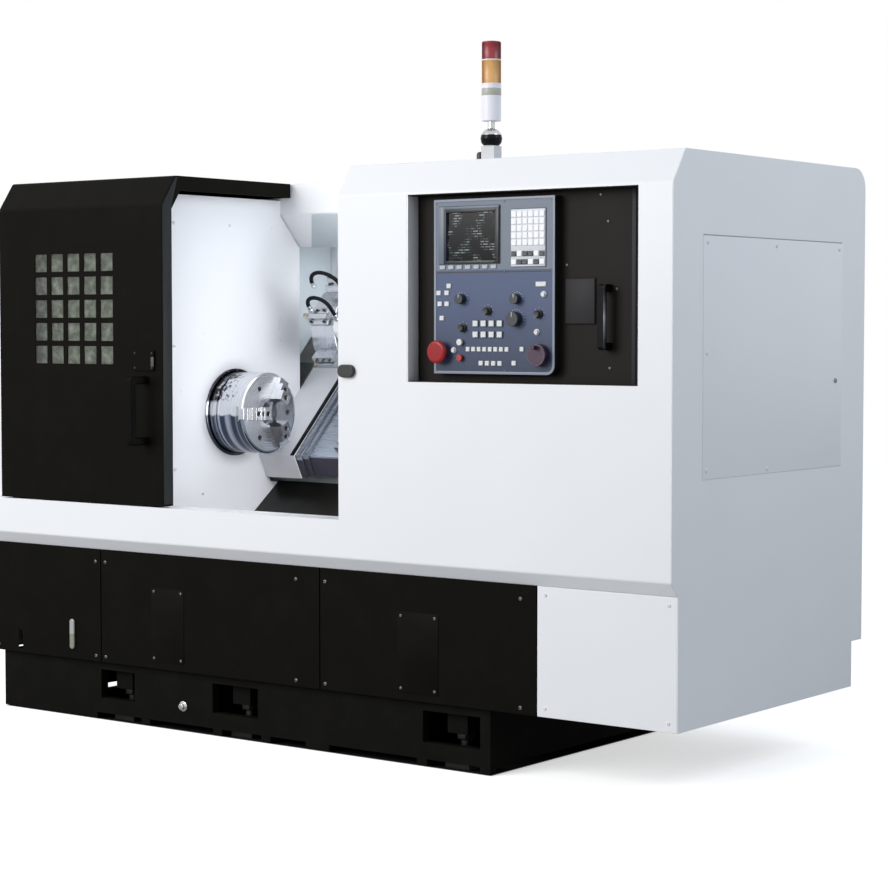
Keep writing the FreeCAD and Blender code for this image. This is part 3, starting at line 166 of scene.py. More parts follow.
scene = bpy.context.scene
scene.view_settings.view_transform = "Standard"
sky = Finish("sky", bpy.data.worlds.new("studio_sky"))
camera_rays = sky.add("ShaderNodeLightPath", {})
seen = (camera_rays + camera_rays.other("Is Glossy Ray") + camera_rays.other("Is Transmission Ray")).clipped()
dim_sky = sky.add("ShaderNodeBackground", {}, (0.87, 0.93, 1.0, 1), 0.48)
white_sky = sky.add("ShaderNodeBackground", {}, grey(1), 1.0)
both_skies = sky.add("ShaderNodeMixShader", {}, seen, dim_sky, white_sky)
scene.world = sky.surface(both_skies, "ShaderNodeOutputWorld")

cove = 14
floor_mesh = bpy.data.meshes.new("floor")
corners = [(-cove, -cove, 0), (cove, -cove, 0), (cove, cove, 0), (-cove, cove, 0)]
floor_mesh.from_pydata(corners, [], [(0, 1, 2, 3)])
floor = bpy.data.objects.new("floor", floor_mesh)
scene.collection.objects.link(floor)
paper = Finish("floor_paper")
camera_rays = paper.add("ShaderNodeLightPath", {})
paper_seen = (camera_rays + camera_rays.other("Is Transmission Ray")).clipped()
grain = paper.noise(3, 2) * 0.01
across, back, up = paper.axes()
# Painted shadow: under the base's footprint the floor is near black and gives no light to the camera.
painted_floor_shadow = across.within(-1.285, 0.69) * back.within(-0.445, 0.51)
lower = paper.mix(paper_seen, grey(0.46), paper.mix(grain, grey(0.9), grey(0.88)))
matt = paper.add("ShaderNodeBsdfDiffuse", {}, paper.mix(painted_floor_shadow, lower, grey(0.02)))
lift = paper.add("ShaderNodeEmission", {}, grey(1), paper_seen * 0.6 * (1 - painted_floor_shadow))
floor_mesh.materials.append(paper.surface(paper.add("ShaderNodeAddShader", {}, matt, lift)))


def lamp(name, spot, target, size, power, tint, spread=math.pi):
    """A soft square lamp that looks at a target."""
    data = bpy.data.lights.new(name, "AREA")
    data.size, data.energy, data.color, data.spread = size, power, tint, spread
    thing = bpy.data.objects.new(name, data)
    thing.location = spot
    thing.rotation_euler = (Vector(target) - Vector(spot)).to_track_quat("-Z", "Y").to_euler()
    thing.visible_camera = False
    scene.collection.objects.link(thing)


cool_white = (0.97, 0.98, 1.0)
lamp("front_softbox", (-2.3, -6.5, 3.8), (0.0, 0.0, 1.0), 4.2, 418, (1.0, 0.99, 0.975))
lamp("top_softbox", (0.3, -0.6, 5.2), (0.1, 0.0, 1.2), 3.6, 3, (0.97, 0.985, 1.0))
lamp("right_fill", (4.6, 0.3, 4.0), (1.3, 0.1, 1.5), 2.2, 66, (0.82, 0.91, 1.0))
lamp("work_light", (0.14, -0.04, 1.56), (-0.55, 0.02, 1.1), 0.45, 0.95, cool_white)
lamp("work_fill", (0.0, -0.34, 1.12), (-0.55, -0.02, 1.05), 0.45, 0.6, cool_white)
lamp("low_fill", (0.46, -0.14, 0.95), (-0.55, -0.2, 0.62), 0.4, 4.3, cool_white, spread=2.4)
lamp("rear_light", (-0.06, 0.34, 1.42), (-0.64, 0.37, 1.32), 0.2, 0.4, (0.94, 0.97, 1.0), spread=1.1)
lamp("way_light", (-0.10, -0.22, 1.52), (-0.46, 0.10, 0.95), 0.3, 0.62, cool_white)

# ---- camera --------------------------------------------------------------------------------------
# The camera stands off the machine's front right corner at chest height with a long lens. Its place and
# turn come from the photograph's straight edges.
focal_px = 2278.5
photo_px = 888
turn_deg = 36.99
dip_deg = 2.99
camera_data = bpy.data.cameras.new("camera")
camera_data.sensor_width = 36
camera_data.lens = focal_px * camera_data.sensor_width / photo_px
camera = bpy.data.objects.new("camera", camera_data)
camera.location = (4.3382, -5.5048, 1.246)
camera.rotation_euler = (math.radians(90 - dip_deg), 0, math.radians(turn_deg))
scene.collection.objects.link(camera)
scene.camera = camera

# ---- base casting and levelling feet -------------------------------------------------------------
# The base is one grey-iron casting, hollow below, with fork windows front and back. It is fettled,
# filled and sprayed black, so the skin keeps the sand's fine lumps and its edges are rounded.
nodes = frame["nodes"]
bodies = frame["record"]["behaviour"]["bodies"]
body_of_node = {node: body for body, names in bodies.items() for node in names}
slot_of_node = {entry["node"]: entry["material_slot"] for entry in frame["record"]["subparts"]}
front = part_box("front_panel")[0].y


def at(x, deep, z):
    """A place given in millimetres: across, back from the cabinet's front face, and up."""
    return Vector((x / 1000, front + deep / 1000, z / 1000))


def coat(name, colour, sheen=0.4, peel=0.25, dust=0.0, lumps=0.0, gleam=0.45):
    """Sprayed or powder paint: orange peel, uneven gloss, faint tone drift and settled dust."""
    paint = Finish(name)
    drift = paint.noise(2.3, 3)
    fine = paint.noise(420, 2)
    tone = paint.tinted((drift - 0.35) * 0.9, colour, 0.965, 1.03)
    if dust:
        patch = ((paint.noise(9, 5, rough=0.7) - 0.45) * 2.4 * dust).clipped()
        tone = paint.mix(patch, tone, (0.20, 0.19, 0.17, 1))
    height = fine * peel + paint.noise(60, 4) * lumps
    gloss = sheen + (paint.noise(14, 4) - 0.5) * 0.12
    return paint.shader(Base_Color=tone, Roughness=gloss, Specular_IOR_Level=gleam,
                        Normal=paint.bump(height, 0.25, 0.0006))


def bevelled(mesh, edges, offset, segments):
    """Rounds some edges of a mesh."""
    bmesh.ops.bevel(mesh, geom=edges, offset=offset, offset_type="OFFSET", segments=segments, profile=0.5,
                    affect="EDGES", clamp_overlap=True)


def smooth_object(name, mesh):
    """An object of a mesh under construction, with smooth faces."""
    for face in mesh.faces:
        face.smooth = True
    thing = bpy.data.objects.new(name, bpy.data.meshes.new(name))
    mesh.to_mesh(thing.data)
    mesh.free()
    return thing


def shown(piece, body):
    """Puts a finished piece in the scene, on its body."""
    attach(piece, body)
    return piece


def rounded(node, fold=0.0, rim=0.0008, steps=2, hollows=True):
    """A copy of a CAD piece with its folds and rims rounded, which is shown in its place. Without
    hollows, inner corners stay sharp, where a moving piece would meet a fillet."""
    mesh = bmesh.new()
    mesh.from_mesh(nodes[node].data)
    bmesh.ops.remove_doubles(mesh, verts=mesh.verts, dist=2e-6)
    bmesh.ops.dissolve_limit(mesh, angle_limit=math.radians(0.6), verts=mesh.verts, edges=mesh.edges)
    if fold:
        bends = [e for e in mesh.edges if len(e.link_faces) == 2 and e.calc_length() > 0.1
                 and math.radians(12) < e.calc_face_angle(0) < math.radians(80)]
        bevelled(mesh, bends, fold, 5)
    sharp = [e for e in mesh.edges if len(e.link_faces) == 2 and e.calc_face_angle(0) > math.radians(38)
             and (hollows or e.is_convex)]
    bevelled(mesh, sharp, rim, steps)
    piece = smooth_object(node + "_skin", mesh)
    piece.data.set_sharp_from_angle(angle=math.radians(40))
    scene.collection.objects.link(piece)
    return piece


def made_plain(piece):
    """Turns a piece's modifiers into plain mesh."""
    ready = piece.evaluated_get(bpy.context.evaluated_depsgraph_get())
    plain = bpy.data.meshes.new_from_object(ready)
    piece.modifiers.clear()
    piece.data = plain


def dress(node, finish, **rounding):
    """Rounds a CAD piece, gives it its finish and shows it in the piece's place."""
    piece = rounded(node, **rounding)
    piece.data.materials.append(finish)
    normals = piece.modifiers.new("weighted_normal", "WEIGHTED_NORMAL")
    normals.keep_sharp, normals.weight = True, 50
    made_plain(piece)
    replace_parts(shown(piece, body_of_node[node]), node)


cast_black = coat("cast_black", (0.005, 0.0048, 0.004), sheen=0.6, peel=0.4, dust=0.02, lumps=1.4, gleam=0.04)
dress("base_casting", cast_black, rim=0.003, steps=3)


class Blank:
    """Solids in millimetres, gathered in one mesh. A spot function gives each point its place."""

    def __init__(self, name, spot=at):
        self.name, self.spot, self.mesh = name, spot, bmesh.new()

    def skin(self, rows, closed=True):
        """Faces between rows of equally many points; the first and last row are closed."""
        rings = [[self.mesh.verts.new(self.spot(*point)) for point in row] for row in rows]
        for low, high in zip(rings, rings[1:]):
            for index in range(len(low)):
                self.mesh.faces.new((low[index - 1], low[index], high[index], high[index - 1]))
        if closed:
            self.mesh.faces.new(rings[0])
            self.mesh.faces.new(rings[-1])

    def block(self, x, deep, z):
        """A block between three pairs of limits."""
        flat = [(x[0], deep[0]), (x[1], deep[0]), (x[1], deep[1]), (x[0], deep[1])]
        self.skin([[(a, b, height) for a, b in flat] for height in z])

    def drawn(self, outline, left, right):
        """An outline of depths and heights, drawn across."""
        self.skin([[(x, *point) for point in outline] for x in (left, right)])

    def turned(self, axis, centre, profile, sides):
        """A profile of (along, radius) turned about a line along x, d (depth) or z, through a centre in the
        other two."""
        order = {"x": (2, 0, 1), "d": (0, 2, 1), "z": (0, 1, 2)}[axis]
        rows = []
        for along, radius in profile:
            points = [(centre[0] + radius * math.cos(2 * math.pi * k / sides),
                       centre[1] + radius * math.sin(2 * math.pi * k / sides), along) for k in range(sides)]
            rows.append([[point[index] for index in order] for point in points])
        self.skin(rows)

    def moulded(self, rim=0.0):
        """The shape alone, its rims rounded."""
        bmesh.ops.recalc_face_normals(self.mesh, faces=self.mesh.faces)
        if rim:
            sharp = [e for e in self.mesh.edges if e.calc_face_angle(0) > math.radians(30)]
            bevelled(self.mesh, sharp, rim / 1000, 2)
        return smooth_object(self.name, self.mesh)

    def piece(self, finish, slot="machined_steel", body="machine", rim=0.0, crease=35):
        """The finished piece on its body."""
        piece = self.moulded(rim)
        piece.data.set_sharp_from_angle(angle=math.radians(crease))
        piece.data.materials.append(finish)
        scene.collection.objects.link(piece)
        return shown(piece, body)


def worked(name, colour, rough=0.3, spread=(1, 1, 1), scale=260, marks=0.12, stain=0.0, metallic=1.0):
    """Cut or ground metal: tool marks stretched along one way, uneven gloss and a little staining."""
    steel = Finish(name)
    lines = steel.noise(scale, 3, spread=spread)
    cloud = steel.noise(7, 4, rough=0.6)
    tone = steel.tinted((cloud - 0.3) * 1.2, colour, 0.9, 1.05)
    if stain:
        patch = ((steel.noise(22, 5, rough=0.65) - 0.52) * 4 * stain).clipped()
        tone = steel.mix(patch, tone, (0.12, 0.10, 0.08, 1))
    gloss = rough + (lines - 0.5) * marks * 1.4 + (cloud - 0.5) * 0.12
    return steel.shader(Base_Color=tone, Metallic=metallic, Roughness=gloss,
                        Normal=steel.bump(lines, marks, 0.0004))


foot_steel = worked("foot_steel", (0.045, 0.045, 0.046), rough=0.45, scale=180, marks=0.3, stain=0.3)
dress("levelling_feet", foot_steel, rim=0.002)
nuts = Blank("foot_nuts")
for nut_x in (550, -263.5, -758):
    for nut_deep in (128, 940):
        nuts.turned("z", (nut_x, nut_deep), [(20, 23), (22, 26), (36, 26), (38, 23)], 6)
        nuts.turned("z", (nut_x, nut_deep), [(80, 23), (82, 26), (98, 26), (99.5, 23)], 6)
nuts.piece(foot_steel, rim=0.6)
plug_zinc = worked("plug_zinc", (0.78, 0.78, 0.75), rough=0.28, scale=200, marks=0.2)
plug = Blank("drain_plug")
plug.turned("d", (-475, 78), [(58, 16), (55, 16), (54, 15)], 28)
plug.turned("d", (-475, 78), [(54.5, 11), (45, 11), (43.5, 9.5)], 6)
plug.piece(plug_zinc, rim=0.5)

# ---- slanted bed and its screw -------------------------------------------------------------------
# The bed is an iron casting with two ways at 45 degrees. The flanks are painted, and the ways are
# planed, hardened and ground, so only they shine. The ball screw is ground and runs between them.
slant = math.sqrt(0.5)
nose_deep = 492
nose_z = 830


def slanted(x, up, out):
    """A place in the slanted frame: across, up the slope, and out from the way covers."""
    return at(x, nose_deep + (up - out) * slant, nose_z + (up + out) * slant)


def off_covers(finish):
    """How far a point stands out from the plane of the way covers, in metres."""
    nose = at(0, nose_deep, nose_z)
    across, back, up = finish.axes()
    return ((up - nose.z) - (back - nose.y)) * slant


def bed_finish():
    """Grey paint below the ways, ground iron above them."""
    iron = Finish("bed_finish")
    ground = off_covers(iron).over(-0.0595)
    lines = iron.noise(500, 2, spread=(0.02, 1, 1))
    rough_skin = iron.noise(55, 5, rough=0.6)
    tone = iron.mix(ground, iron.mix(rough_skin, (0.20, 0.22, 0.22, 1), (0.25, 0.27, 0.27, 1)),
                    iron.mix(lines, (0.50, 0.51, 0.52, 1), (0.62, 0.63, 0.64, 1)))
    height = lines * ground * 0.3 + rough_skin * (1 - ground)
    gloss = 0.55 - ground * 0.3 + (lines - 0.5) * 0.1
    return iron.shader(Base_Color=tone, Metallic=ground * 0.95, Roughness=gloss,
                       Normal=iron.bump(height, 0.35, 0.0008))


dress("slant_bed", bed_finish(), rim=0.0015)
screw_steel = worked("screw_steel", (0.62, 0.63, 0.65), rough=0.16, spread=(1, 0.05, 0.05), scale=400,
                     marks=0.2)
dress("bed_screw", screw_steel, rim=0.0005)

# ---- headstock, spindle and bearings -------------------------------------------------------------
# The headstock is a cast block bolted on the bed, bored through for the spindle. The spindle is a
# hollow shaft, turned and ground where the two bearing sets sit.
cast_grey = coat("cast_grey", (0.26, 0.28, 0.28), sheen=0.5, peel=0.3, dust=0.2, lumps=1.0)
dress("headstock_casting", cast_grey, rim=0.002)
spindle_centre = (380, 970)


def lathe_steel(name, colour, centre, rough=0.22, pitch=900, marks=0.25, painted_darkening=0.0):
    """Steel turned about an X line: rings follow the tool's path, and the gloss follows the rings. Beyond a
    given radius the colour carries painted reflections and shade: streaked dark bands below the axis and dark
    spots above it."""
    steel = Finish(name)
    across, back, up = steel.axes()
    middle = at(0, *centre)
    side, high = back - middle.y, up - middle.z
    reach = (side * side + high * high) ** 0.5
    rings = steel.add("ShaderNodeTexNoise", {"noise_dimensions": "1D"}, W=reach + across * 0.7, Scale=pitch,
                      Detail=2.0)
    cloud = steel.noise(9, 4, rough=0.6)
    tone = steel.tinted((cloud - 0.3) * 1.3, colour, 0.88, 1.06)
    # Painted reflections and shade beyond the radius: streaked bands below the axis, dark spots above it
    # toward the left.
    if painted_darkening:
        edge = steel.noise(30, 3) * 0.02
        reflection_zone = reach.over(painted_darkening)
        reflection_streaks = steel.add("ShaderNodeTexNoise", {"noise_dimensions": "1D"}, W=across, Scale=46.0,
                            Detail=1.0)
        reflection_bands = steel.mix(((reflection_streaks - 0.42) * 5).clipped(), (0.045, 0.055, 0.085, 1), (0.34, 0.38, 0.46, 1))
        lower = ((edge - high - 0.012) * 160).clipped() * reflection_zone
        tone = steel.mix(lower, tone, reflection_bands)
        spots = ((steel.noise(75, 3, rough=0.7) - 0.5) * 9 - (across + 0.48) * 30).clipped()
        upper = ((high - 0.045 + edge) * 160).clipped() * reflection_zone
        tone = steel.mix(upper * spots, tone, (0.05, 0.05, 0.06, 1))
    gloss = rough + (rings - 0.5) * marks + (cloud - 0.5) * 0.1
    return steel.shader(Base_Color=tone, Metallic=1.0, Roughness=gloss,
                        Normal=steel.bump(rings, marks * 0.5, 0.0003))


dress("spindle", lathe_steel("spindle_steel", (0.60, 0.61, 0.63), spindle_centre))
dress("spindle_bearings", lathe_steel("bearing_steel", (0.52, 0.53, 0.55), spindle_centre, rough=0.15),
      rim=0.0006)

# ---- motor, pulleys, belt and chuck cylinder -----------------------------------------------------
# The spindle motor stands on the bed's foot and turns the spindle by a ribbed belt over two iron
# pulleys. Behind the spindle pulley sits the cylinder that pulls the chuck's draw tube.
motor_centre = (330, 338)
motor_paint = coat("motor_paint", (0.055, 0.065, 0.075), sheen=0.42, peel=0.3, dust=0.15, lumps=0.5)
dress("spindle_motor", motor_paint, rim=0.002)
for pulley, name, centre in (("spindle_pulley", "pulley_iron", spindle_centre),
                             ("motor_pulley", "motor_pulley_iron", motor_centre)):
    dress(pulley, lathe_steel(name, (0.36, 0.36, 0.37), centre, rough=0.35, pitch=700), rim=0.001)
cylinder_steel = lathe_steel("cylinder_steel", (0.5, 0.51, 0.52), spindle_centre, rough=0.3)
dress("chuck_cylinder", cylinder_steel, rim=0.001)
belt = Finish("belt_rubber")
ribs = belt.add("ShaderNodeTexWave", {"wave_type": "BANDS", "bands_direction": "X"}, Vector=belt.place(),
                Scale=95.0)
rubber = belt.mix(belt.noise(40, 4), (0.012, 0.012, 0.013, 1), (0.03, 0.03, 0.032, 1))
dress("drive_belt", belt.shader(Base_Color=rubber, Roughness=0.6 + (ribs - 0.5) * 0.2,
                                Normal=belt.bump(ribs, 0.6, 0.0012)), rim=0.0006)


class Recipe:
    """A Geometry Nodes tree with named inputs, run on a mesh of points or lines."""

    def __init__(self, name, inputs):
        self.tree = bpy.data.node_groups.new(name, "GeometryNodeTree")
        self.sockets = {}
        for label, kind in inputs.items():
            socket = self.tree.interface.new_socket(label, in_out="INPUT", socket_type="NodeSocket" + kind)
            self.sockets[label] = socket.identifier
        self.tree.interface.new_socket("Piece", in_out="OUTPUT", socket_type="NodeSocketGeometry")
        self.given = self.tree.nodes.new("NodeGroupInput").outputs

    def step(self, kind, links, out=0, **settings):
        node = self.tree.nodes.new(kind)
        for key, value in settings.items():
            setattr(node, key, value)
        for key, value in links.items():
            if isinstance(value, bpy.types.NodeSocket):
                self.tree.links.new(value, node.inputs[key])
            else:
                node.inputs[key].default_value = value
        return node.outputs[out]

    def end(self, geometry):
        """Closes the tree: real faces with their finish."""
        solid = self.step("GeometryNodeRealizeInstances", {"Geometry": geometry})
        coated = self.step("GeometryNodeSetMaterial", {"Geometry": solid, "Material": self.given["Finish"]})
        self.tree.links.new(coated, self.tree.nodes.new("NodeGroupOutput").inputs[0])

    def run(self, name, mesh, **values):
        """A plain piece made from the mesh with these inputs."""
        piece = bpy.data.objects.new(name, mesh)
        scene.collection.objects.link(piece)
        modifier = piece.modifiers.new(self.tree.name, "NODES")
        modifier.node_group = self.tree
        for label, value in values.items():
            modifier[self.sockets[label.replace("_", " ")]] = value
        made_plain(piece)
        return piece


copier = Recipe("set_out", {"Spots": "Geometry", "Shape": "Object", "Spin": "Float", "Spin seed": "Int",
                            "Finish": "Material"})
turn, extent = (copier.step("GeometryNodeInputNamedAttribute", {"Name": name}, "Attribute",
                            data_type="FLOAT_VECTOR") for name in ("turn", "extent"))
full_turn = 6.2832
chance = copier.step("FunctionNodeRandomValue", {3: full_turn, "Seed": copier.given["Spin seed"]}, 1,
                     data_type="FLOAT")
angle = copier.step("ShaderNodeMath", {0: chance, 1: copier.given["Spin"]}, operation="MULTIPLY")
about = copier.step("ShaderNodeCombineXYZ", {"Z": angle})
facing = copier.step("FunctionNodeEulerToRotation", {"Euler": turn})
twist = copier.step("FunctionNodeEulerToRotation", {"Euler": about})
both = copier.step("FunctionNodeRotateRotation", {"Rotation": facing, "Rotate By": twist},
                   rotation_space="LOCAL")
shape = copier.step("GeometryNodeObjectInfo", {"Object": copier.given["Shape"]}, "Geometry",
                    transform_space="ORIGINAL")
copier.end(copier.step("GeometryNodeInstanceOnPoints", {"Points": copier.given["Spots"], "Instance": shape,
                                                        "Rotation": both, "Scale": extent}))


def seats(places, way, *size):
    """Seats for a repeated shape: places, the way they face and the size, or the radius and height."""
    extent = tuple(measure / 1000 for measure in (size if len(size) == 3 else (size[0], *size)))
    return [(at(*place) if isinstance(place, tuple) else place, way, extent) for place in places]


def set_out(name, spots, shape, finish, body="machine", spin=1.0, seed=7, crease=35):
    """Repeats a shape on its seats, each turned about its own axis by chance."""
    mesh = bpy.data.meshes.new(name)
    mesh.from_pydata([tuple(place) for place, way, extent in spots], [], [])
    turns = mesh.attributes.new("turn", "FLOAT_VECTOR", "POINT")
    extents = mesh.attributes.new("extent", "FLOAT_VECTOR", "POINT")
    for index, (place, way, extent) in enumerate(spots):
        turns.data[index].vector = Vector(way).to_track_quat("Z", "Y").to_euler()
        extents.data[index].vector = extent
    piece = copier.run(name, mesh, Shape=shape, Spin=spin, Spin_seed=seed, Finish=finish)
    piece.data.set_sharp_from_angle(angle=math.radians(crease))
    return shown(piece, body)


def pattern(name, rows):
    """A shape to repeat: rings of points about its own Z, a unit across."""
    shape = Blank(name, lambda *point: point)
    shape.skin(rows)
    return shape.moulded()


def ring(radius, height, sides=14):
    return [(radius * math.cos(2 * math.pi * k / sides), radius * math.sin(2 * math.pi * k / sides), height)
            for k in range(sides)]


def square(side_x, side_y, height):
    return [(-side_x, -side_y, height), (side_x, -side_y, height), (side_x, side_y, height),
            (-side_x, side_y, height)]


to_front, to_back, to_left, to_right = (0, -1, 0), (0, 1, 0), (-1, 0, 0), (1, 0, 0)
fin = pattern("fin_shape", [square(0.5, 0.5, -0.1), square(0.48, 0.3, 1)])
fins = seats([(-910, 205, 260 + 19 * k) for k in range(9)], to_front, 340, 4, 12)
fins += seats([(-910, 455, 260 + 19 * k) for k in range(9)], to_back, 340, 4, 12)
set_out("motor_fins", fins, fin, motor_paint, spin=0)

# ---- chuck and jaws ------------------------------------------------------------------------------
# A three-jaw power chuck: a turned steel body with three T-slots, ground jaws in them, and stepped hard
# top jaws clamped by two socket screws each. Fine serrations lock the top jaws.
chuck_face = -406
jaw_angles = (180, 300, 60)
# The chuck body's colour carries painted reflections and shade beyond a 118 mm radius.
chuck_steel = lathe_steel("chuck_steel", (0.74, 0.76, 0.80), spindle_centre, rough=0.3, pitch=650, marks=0.3,
                          painted_darkening=0.118)
dress("chuck_body", chuck_steel, rim=0.0012, steps=3)
jaw_steel = worked("jaw_steel", (0.70, 0.71, 0.73), rough=0.2, spread=(1, 0.08, 0.08), scale=420, marks=0.2)
black_steel = worked("black_steel", (0.05, 0.05, 0.055), rough=0.38, scale=240, marks=0.1, metallic=0.8)
socket_head = pattern("socket_head", [ring(1, 0, 18), ring(1, 0.85, 18), ring(0.9, 1, 18), ring(0.58, 1, 18),
                                      ring(0.5, 0.94, 18), ring(0.46, 0.4, 18)])


def around_spindle(angle):
    """Places on the spindle's axis: across, out along a jaw at this angle, and sideways from it."""
    cos, sin = math.cos(math.radians(angle)), math.sin(math.radians(angle))
    deep, z = spindle_centre
    return lambda x, out, side: at(x, deep + out * cos - side * sin, z + out * sin + side * cos)


for index, angle in enumerate(jaw_angles, 1):
    body = f"jaw_{index}"
    spot = around_spindle(angle)
    dress(body, jaw_steel, rim=0.0011)
    heads = [spot(chuck_face + low, out, 0) for out, low in ((84, 18.2), (56, 30.2))]
    set_out(f"{body}_screws", seats(heads, to_right, 6.6, 11), socket_head, black_steel, body=body,
            seed=index)
    teeth = Blank(f"{body}_serrations", spot)
    for flank in ((-20.35, -19.9), (19.9, 20.35)):
        for row in range(26):
            out = 41 + 3 * row
            teeth.block((chuck_face - 0.6, chuck_face + 2.4), (out, out + 1.3), flank)
    teeth.piece(jaw_steel, "hard_chrome", body=body)
body_screws = [around_spindle(turn)(chuck_face - 19.9, 88, 0) for turn in (0, 120, 240)]
set_out("chuck_screws", seats(body_screws, to_right, 7.4, 12), socket_head, black_steel, body="spindle",
        seed=4)
rim_plugs = []
for k in range(6):
    spot = around_spindle(30 + 60 * k)
    rim_plugs += seats([spot(-527, 126.2, 0)], tuple(spot(0, 1, 0) - spot(0, 0, 0)), 5, 2.2)
set_out("chuck_plugs", rim_plugs, socket_head, black_steel, body="spindle", seed=5)
nose_seal = Blank("spindle_nose_ring")
nose_seal.turned("x", spindle_centre, [(-552, 116.5), (-552, 134), (-548.6, 138), (-545, 138), (-543.5, 134),
                                       (-543.5, 131), (-545, 130), (-545, 117)], 72)
nose_seal.piece(chuck_steel, rim=0.4)

# ---- cabinet sheets ------------------------------------------------------------------------------
# The cabinet is folded from 3 and 4 mm steel sheet and powder-coated white, with rounded folds. The
# sheets meet in narrow seams and hang on button-head screws.
white_coat = coat("white_coat", (0.80, 0.815, 0.84), sheen=0.34, peel=0.5)
for sheet in ("front_panel", "right_side_panel", "left_side_panel", "roof_panel", "back_panel"):
    dress(sheet, white_coat, fold=0.010, rim=0.0011)
side_face = 1302
back_face = 1076
service = Blank("service_cover_skin")
service.skin([[(x, 150 + inset, 840 + inset), (x, 930 - inset, 840 + inset), (x, 930 - inset, 1480 - inset),
               (x, 150 + inset, 1480 - inset)]
              for x, inset in ((1300, 0), (1300.3, 0), (1301, 0.5), (1301.6, 1.4), (side_face, 3))])
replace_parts(service.piece(white_coat, slot_of_node["service_cover"]), "service_cover")
button_head = pattern("button_head", [ring(1, 0), ring(1, 0.28), ring(0.86, 0.7), ring(0.62, 0.95),
                                      ring(0.46, 1), ring(0.4, 0.95), ring(0.38, 0.3)])
zinc = worked("zinc_screws", (0.62, 0.62, 0.60), rough=0.3, scale=300, marks=0.15)
shade_line_and_lock_grey = coat("shade_line_and_lock_grey", (0.30, 0.32, 0.35), sheen=0.5, peel=0.3)


def screws(name, places, way, wide, rise, finish, seed, body="machine"):
    """Like button-head screws that face one way, with their radius and height in millimetres."""
    set_out(name, seats(places, way, wide, rise), button_head, finish, body, seed=seed)


def plates(name, finish, slot, *blocks, body="machine", rim=0.0):
    """A piece of plain blocks, each with its limits across, in depth and up."""
    plate = Blank(name)
    for block in blocks:
        plate.block(*block)
    plate.piece(finish, slot, body, rim)


screws("right_side_screws", [(side_face, deep, z) for deep, z in ((168, 1172), (168, 864), (495, 853),
                                                                  (170, 1462), (540, 1462), (910, 1462))],
       to_right, 5.5, 3, white_coat, 7)
screws("right_side_lock", [(side_face, 891, 1087)], to_right, 7.5, 4, shade_line_and_lock_grey, 6)
# Painted shade: a dark grey strip along the service cover's top edge stands for the shadow line there.
plates("service_cover_gasket", shade_line_and_lock_grey, "belt_rubber", ((1299.9, 1301.2), (151, 929), (1479.4, 1482.4)))
screws("left_side_screws", [(-1300, deep, z) for deep in (150, 640, 1000) for z in (260, 640, 1060, 1560)],
       to_left, 5.5, 3, zinc, 8)
screws("back_screws", [(x, back_face, z) for x in (-1275, -640, 0, 640, 1275)
                       for z in (360, 720, 1180, 1585)], to_back, 5.5, 3, zinc, 9)
plates("back_seams", white_coat, "white_paint", *(((x - 14, x + 14), (1075.5, 1077.2), (330, 1606))
                                                  for x in (-640, 0, 640)), rim=0.5)
hood = pattern("louvre_hood", [square(0.5, 0.5, -0.05),
                               [(-0.5, -0.5, 0.9), (0.5, -0.5, 0.9), (0.5, 0.42, 0.05), (-0.5, 0.42, 0.05)],
                               [(-0.49, -0.42, 1), (0.49, -0.42, 1), (0.49, 0.42, 0.1), (-0.49, 0.42, 0.1)]])
hoods = seats([(x, back_face, 905 + 34 * row) for x in (-950, 890) for row in range(8)], to_back, 260, 30, 11)
set_out("louvre_hoods", hoods, hood, white_coat, spin=0, seed=18, crease=50)
screws("bar_ring_screws", [around_spindle(45 + 90 * k)(-1302, 69, 0) for k in range(4)], to_left, 4, 2, zinc,
       10)

# ---- lower covers --------------------------------------------------------------------------------
# Folded trays close the lower front: three powder-coated black and one white at the right. Each hangs
# on six screws; small plates cover the levelling points, and a sight glass shows the coolant.
black_coat = coat("black_coat", (0.0052, 0.0048, 0.0036), sheen=0.42, peel=0.5, dust=0.012, gleam=0.03)
dress("lower_panels", black_coat, fold=0.004, rim=0.0015)
dress("lower_front_cover", white_coat, fold=0.004, rim=0.0015)
tray_face = 34
plates("levelling_plates", black_coat, "black_paint", *((x, (32.4, 34.2), (209, 439))
                                                        for x in ((379, 523), (-586, -449))), rim=0.6)
dull_zinc = worked("dull_zinc_screws", (0.16, 0.16, 0.15), rough=0.42, scale=300, marks=0.15)
lower_screws = seats([(x, tray_face, z) for x in (803, 1, -785, 112, -828, -1276) for z in (504, 206)],
                     to_front, 6.2, 3.2)
lower_screws += seats([(x, 32.4, z) for x in (391, 511, -574, -461) for z in (221, 427)], to_front, 5, 2.6)
set_out("lower_screws", lower_screws, button_head, dull_zinc, seed=11)
screws("white_cover_screws", [(x, tray_face, z) for x in (884, 1272) for z in (212, 520)],
       to_front, 5.5, 3, white_coat, 12)
sight = Finish("sight_plastic")
across, back, up = sight.axes()
coolant_level = 0.268
cloudy = sight.mix(sight.noise(30, 3), (0.20, 0.21, 0.17, 1), (0.26, 0.27, 0.22, 1))
capsule = sight.shader(Base_Color=sight.mix(up.over(coolant_level), cloudy, (0.36, 0.37, 0.36, 1)),
                       Roughness=0.12 + sight.noise(60, 2) * 0.08, Coat_Weight=0.6, Coat_Roughness=0.05)
dress("sight_glass", capsule, rim=0.003, steps=3)

# ---- guards round the work area ------------------------------------------------------------------
# Inner guards of powder-coated sheet close the work area on the left, right and back, and carry the
# coolant down to the trough.
liner_coat = coat("liner_coat", (0.80, 0.81, 0.84), sheen=0.3, peel=0.4, dust=0.02)
dress("headstock_guard", white_coat, fold=0.006, rim=0.001)
for sheet in ("headstock_wall", "rear_splash_guard", "right_splash_guard"):
    dress(sheet, liner_coat, fold=0.005, rim=0.001)
header_grey = coat("header_grey", (0.46, 0.51, 0.54), sheen=0.4, peel=0.4)
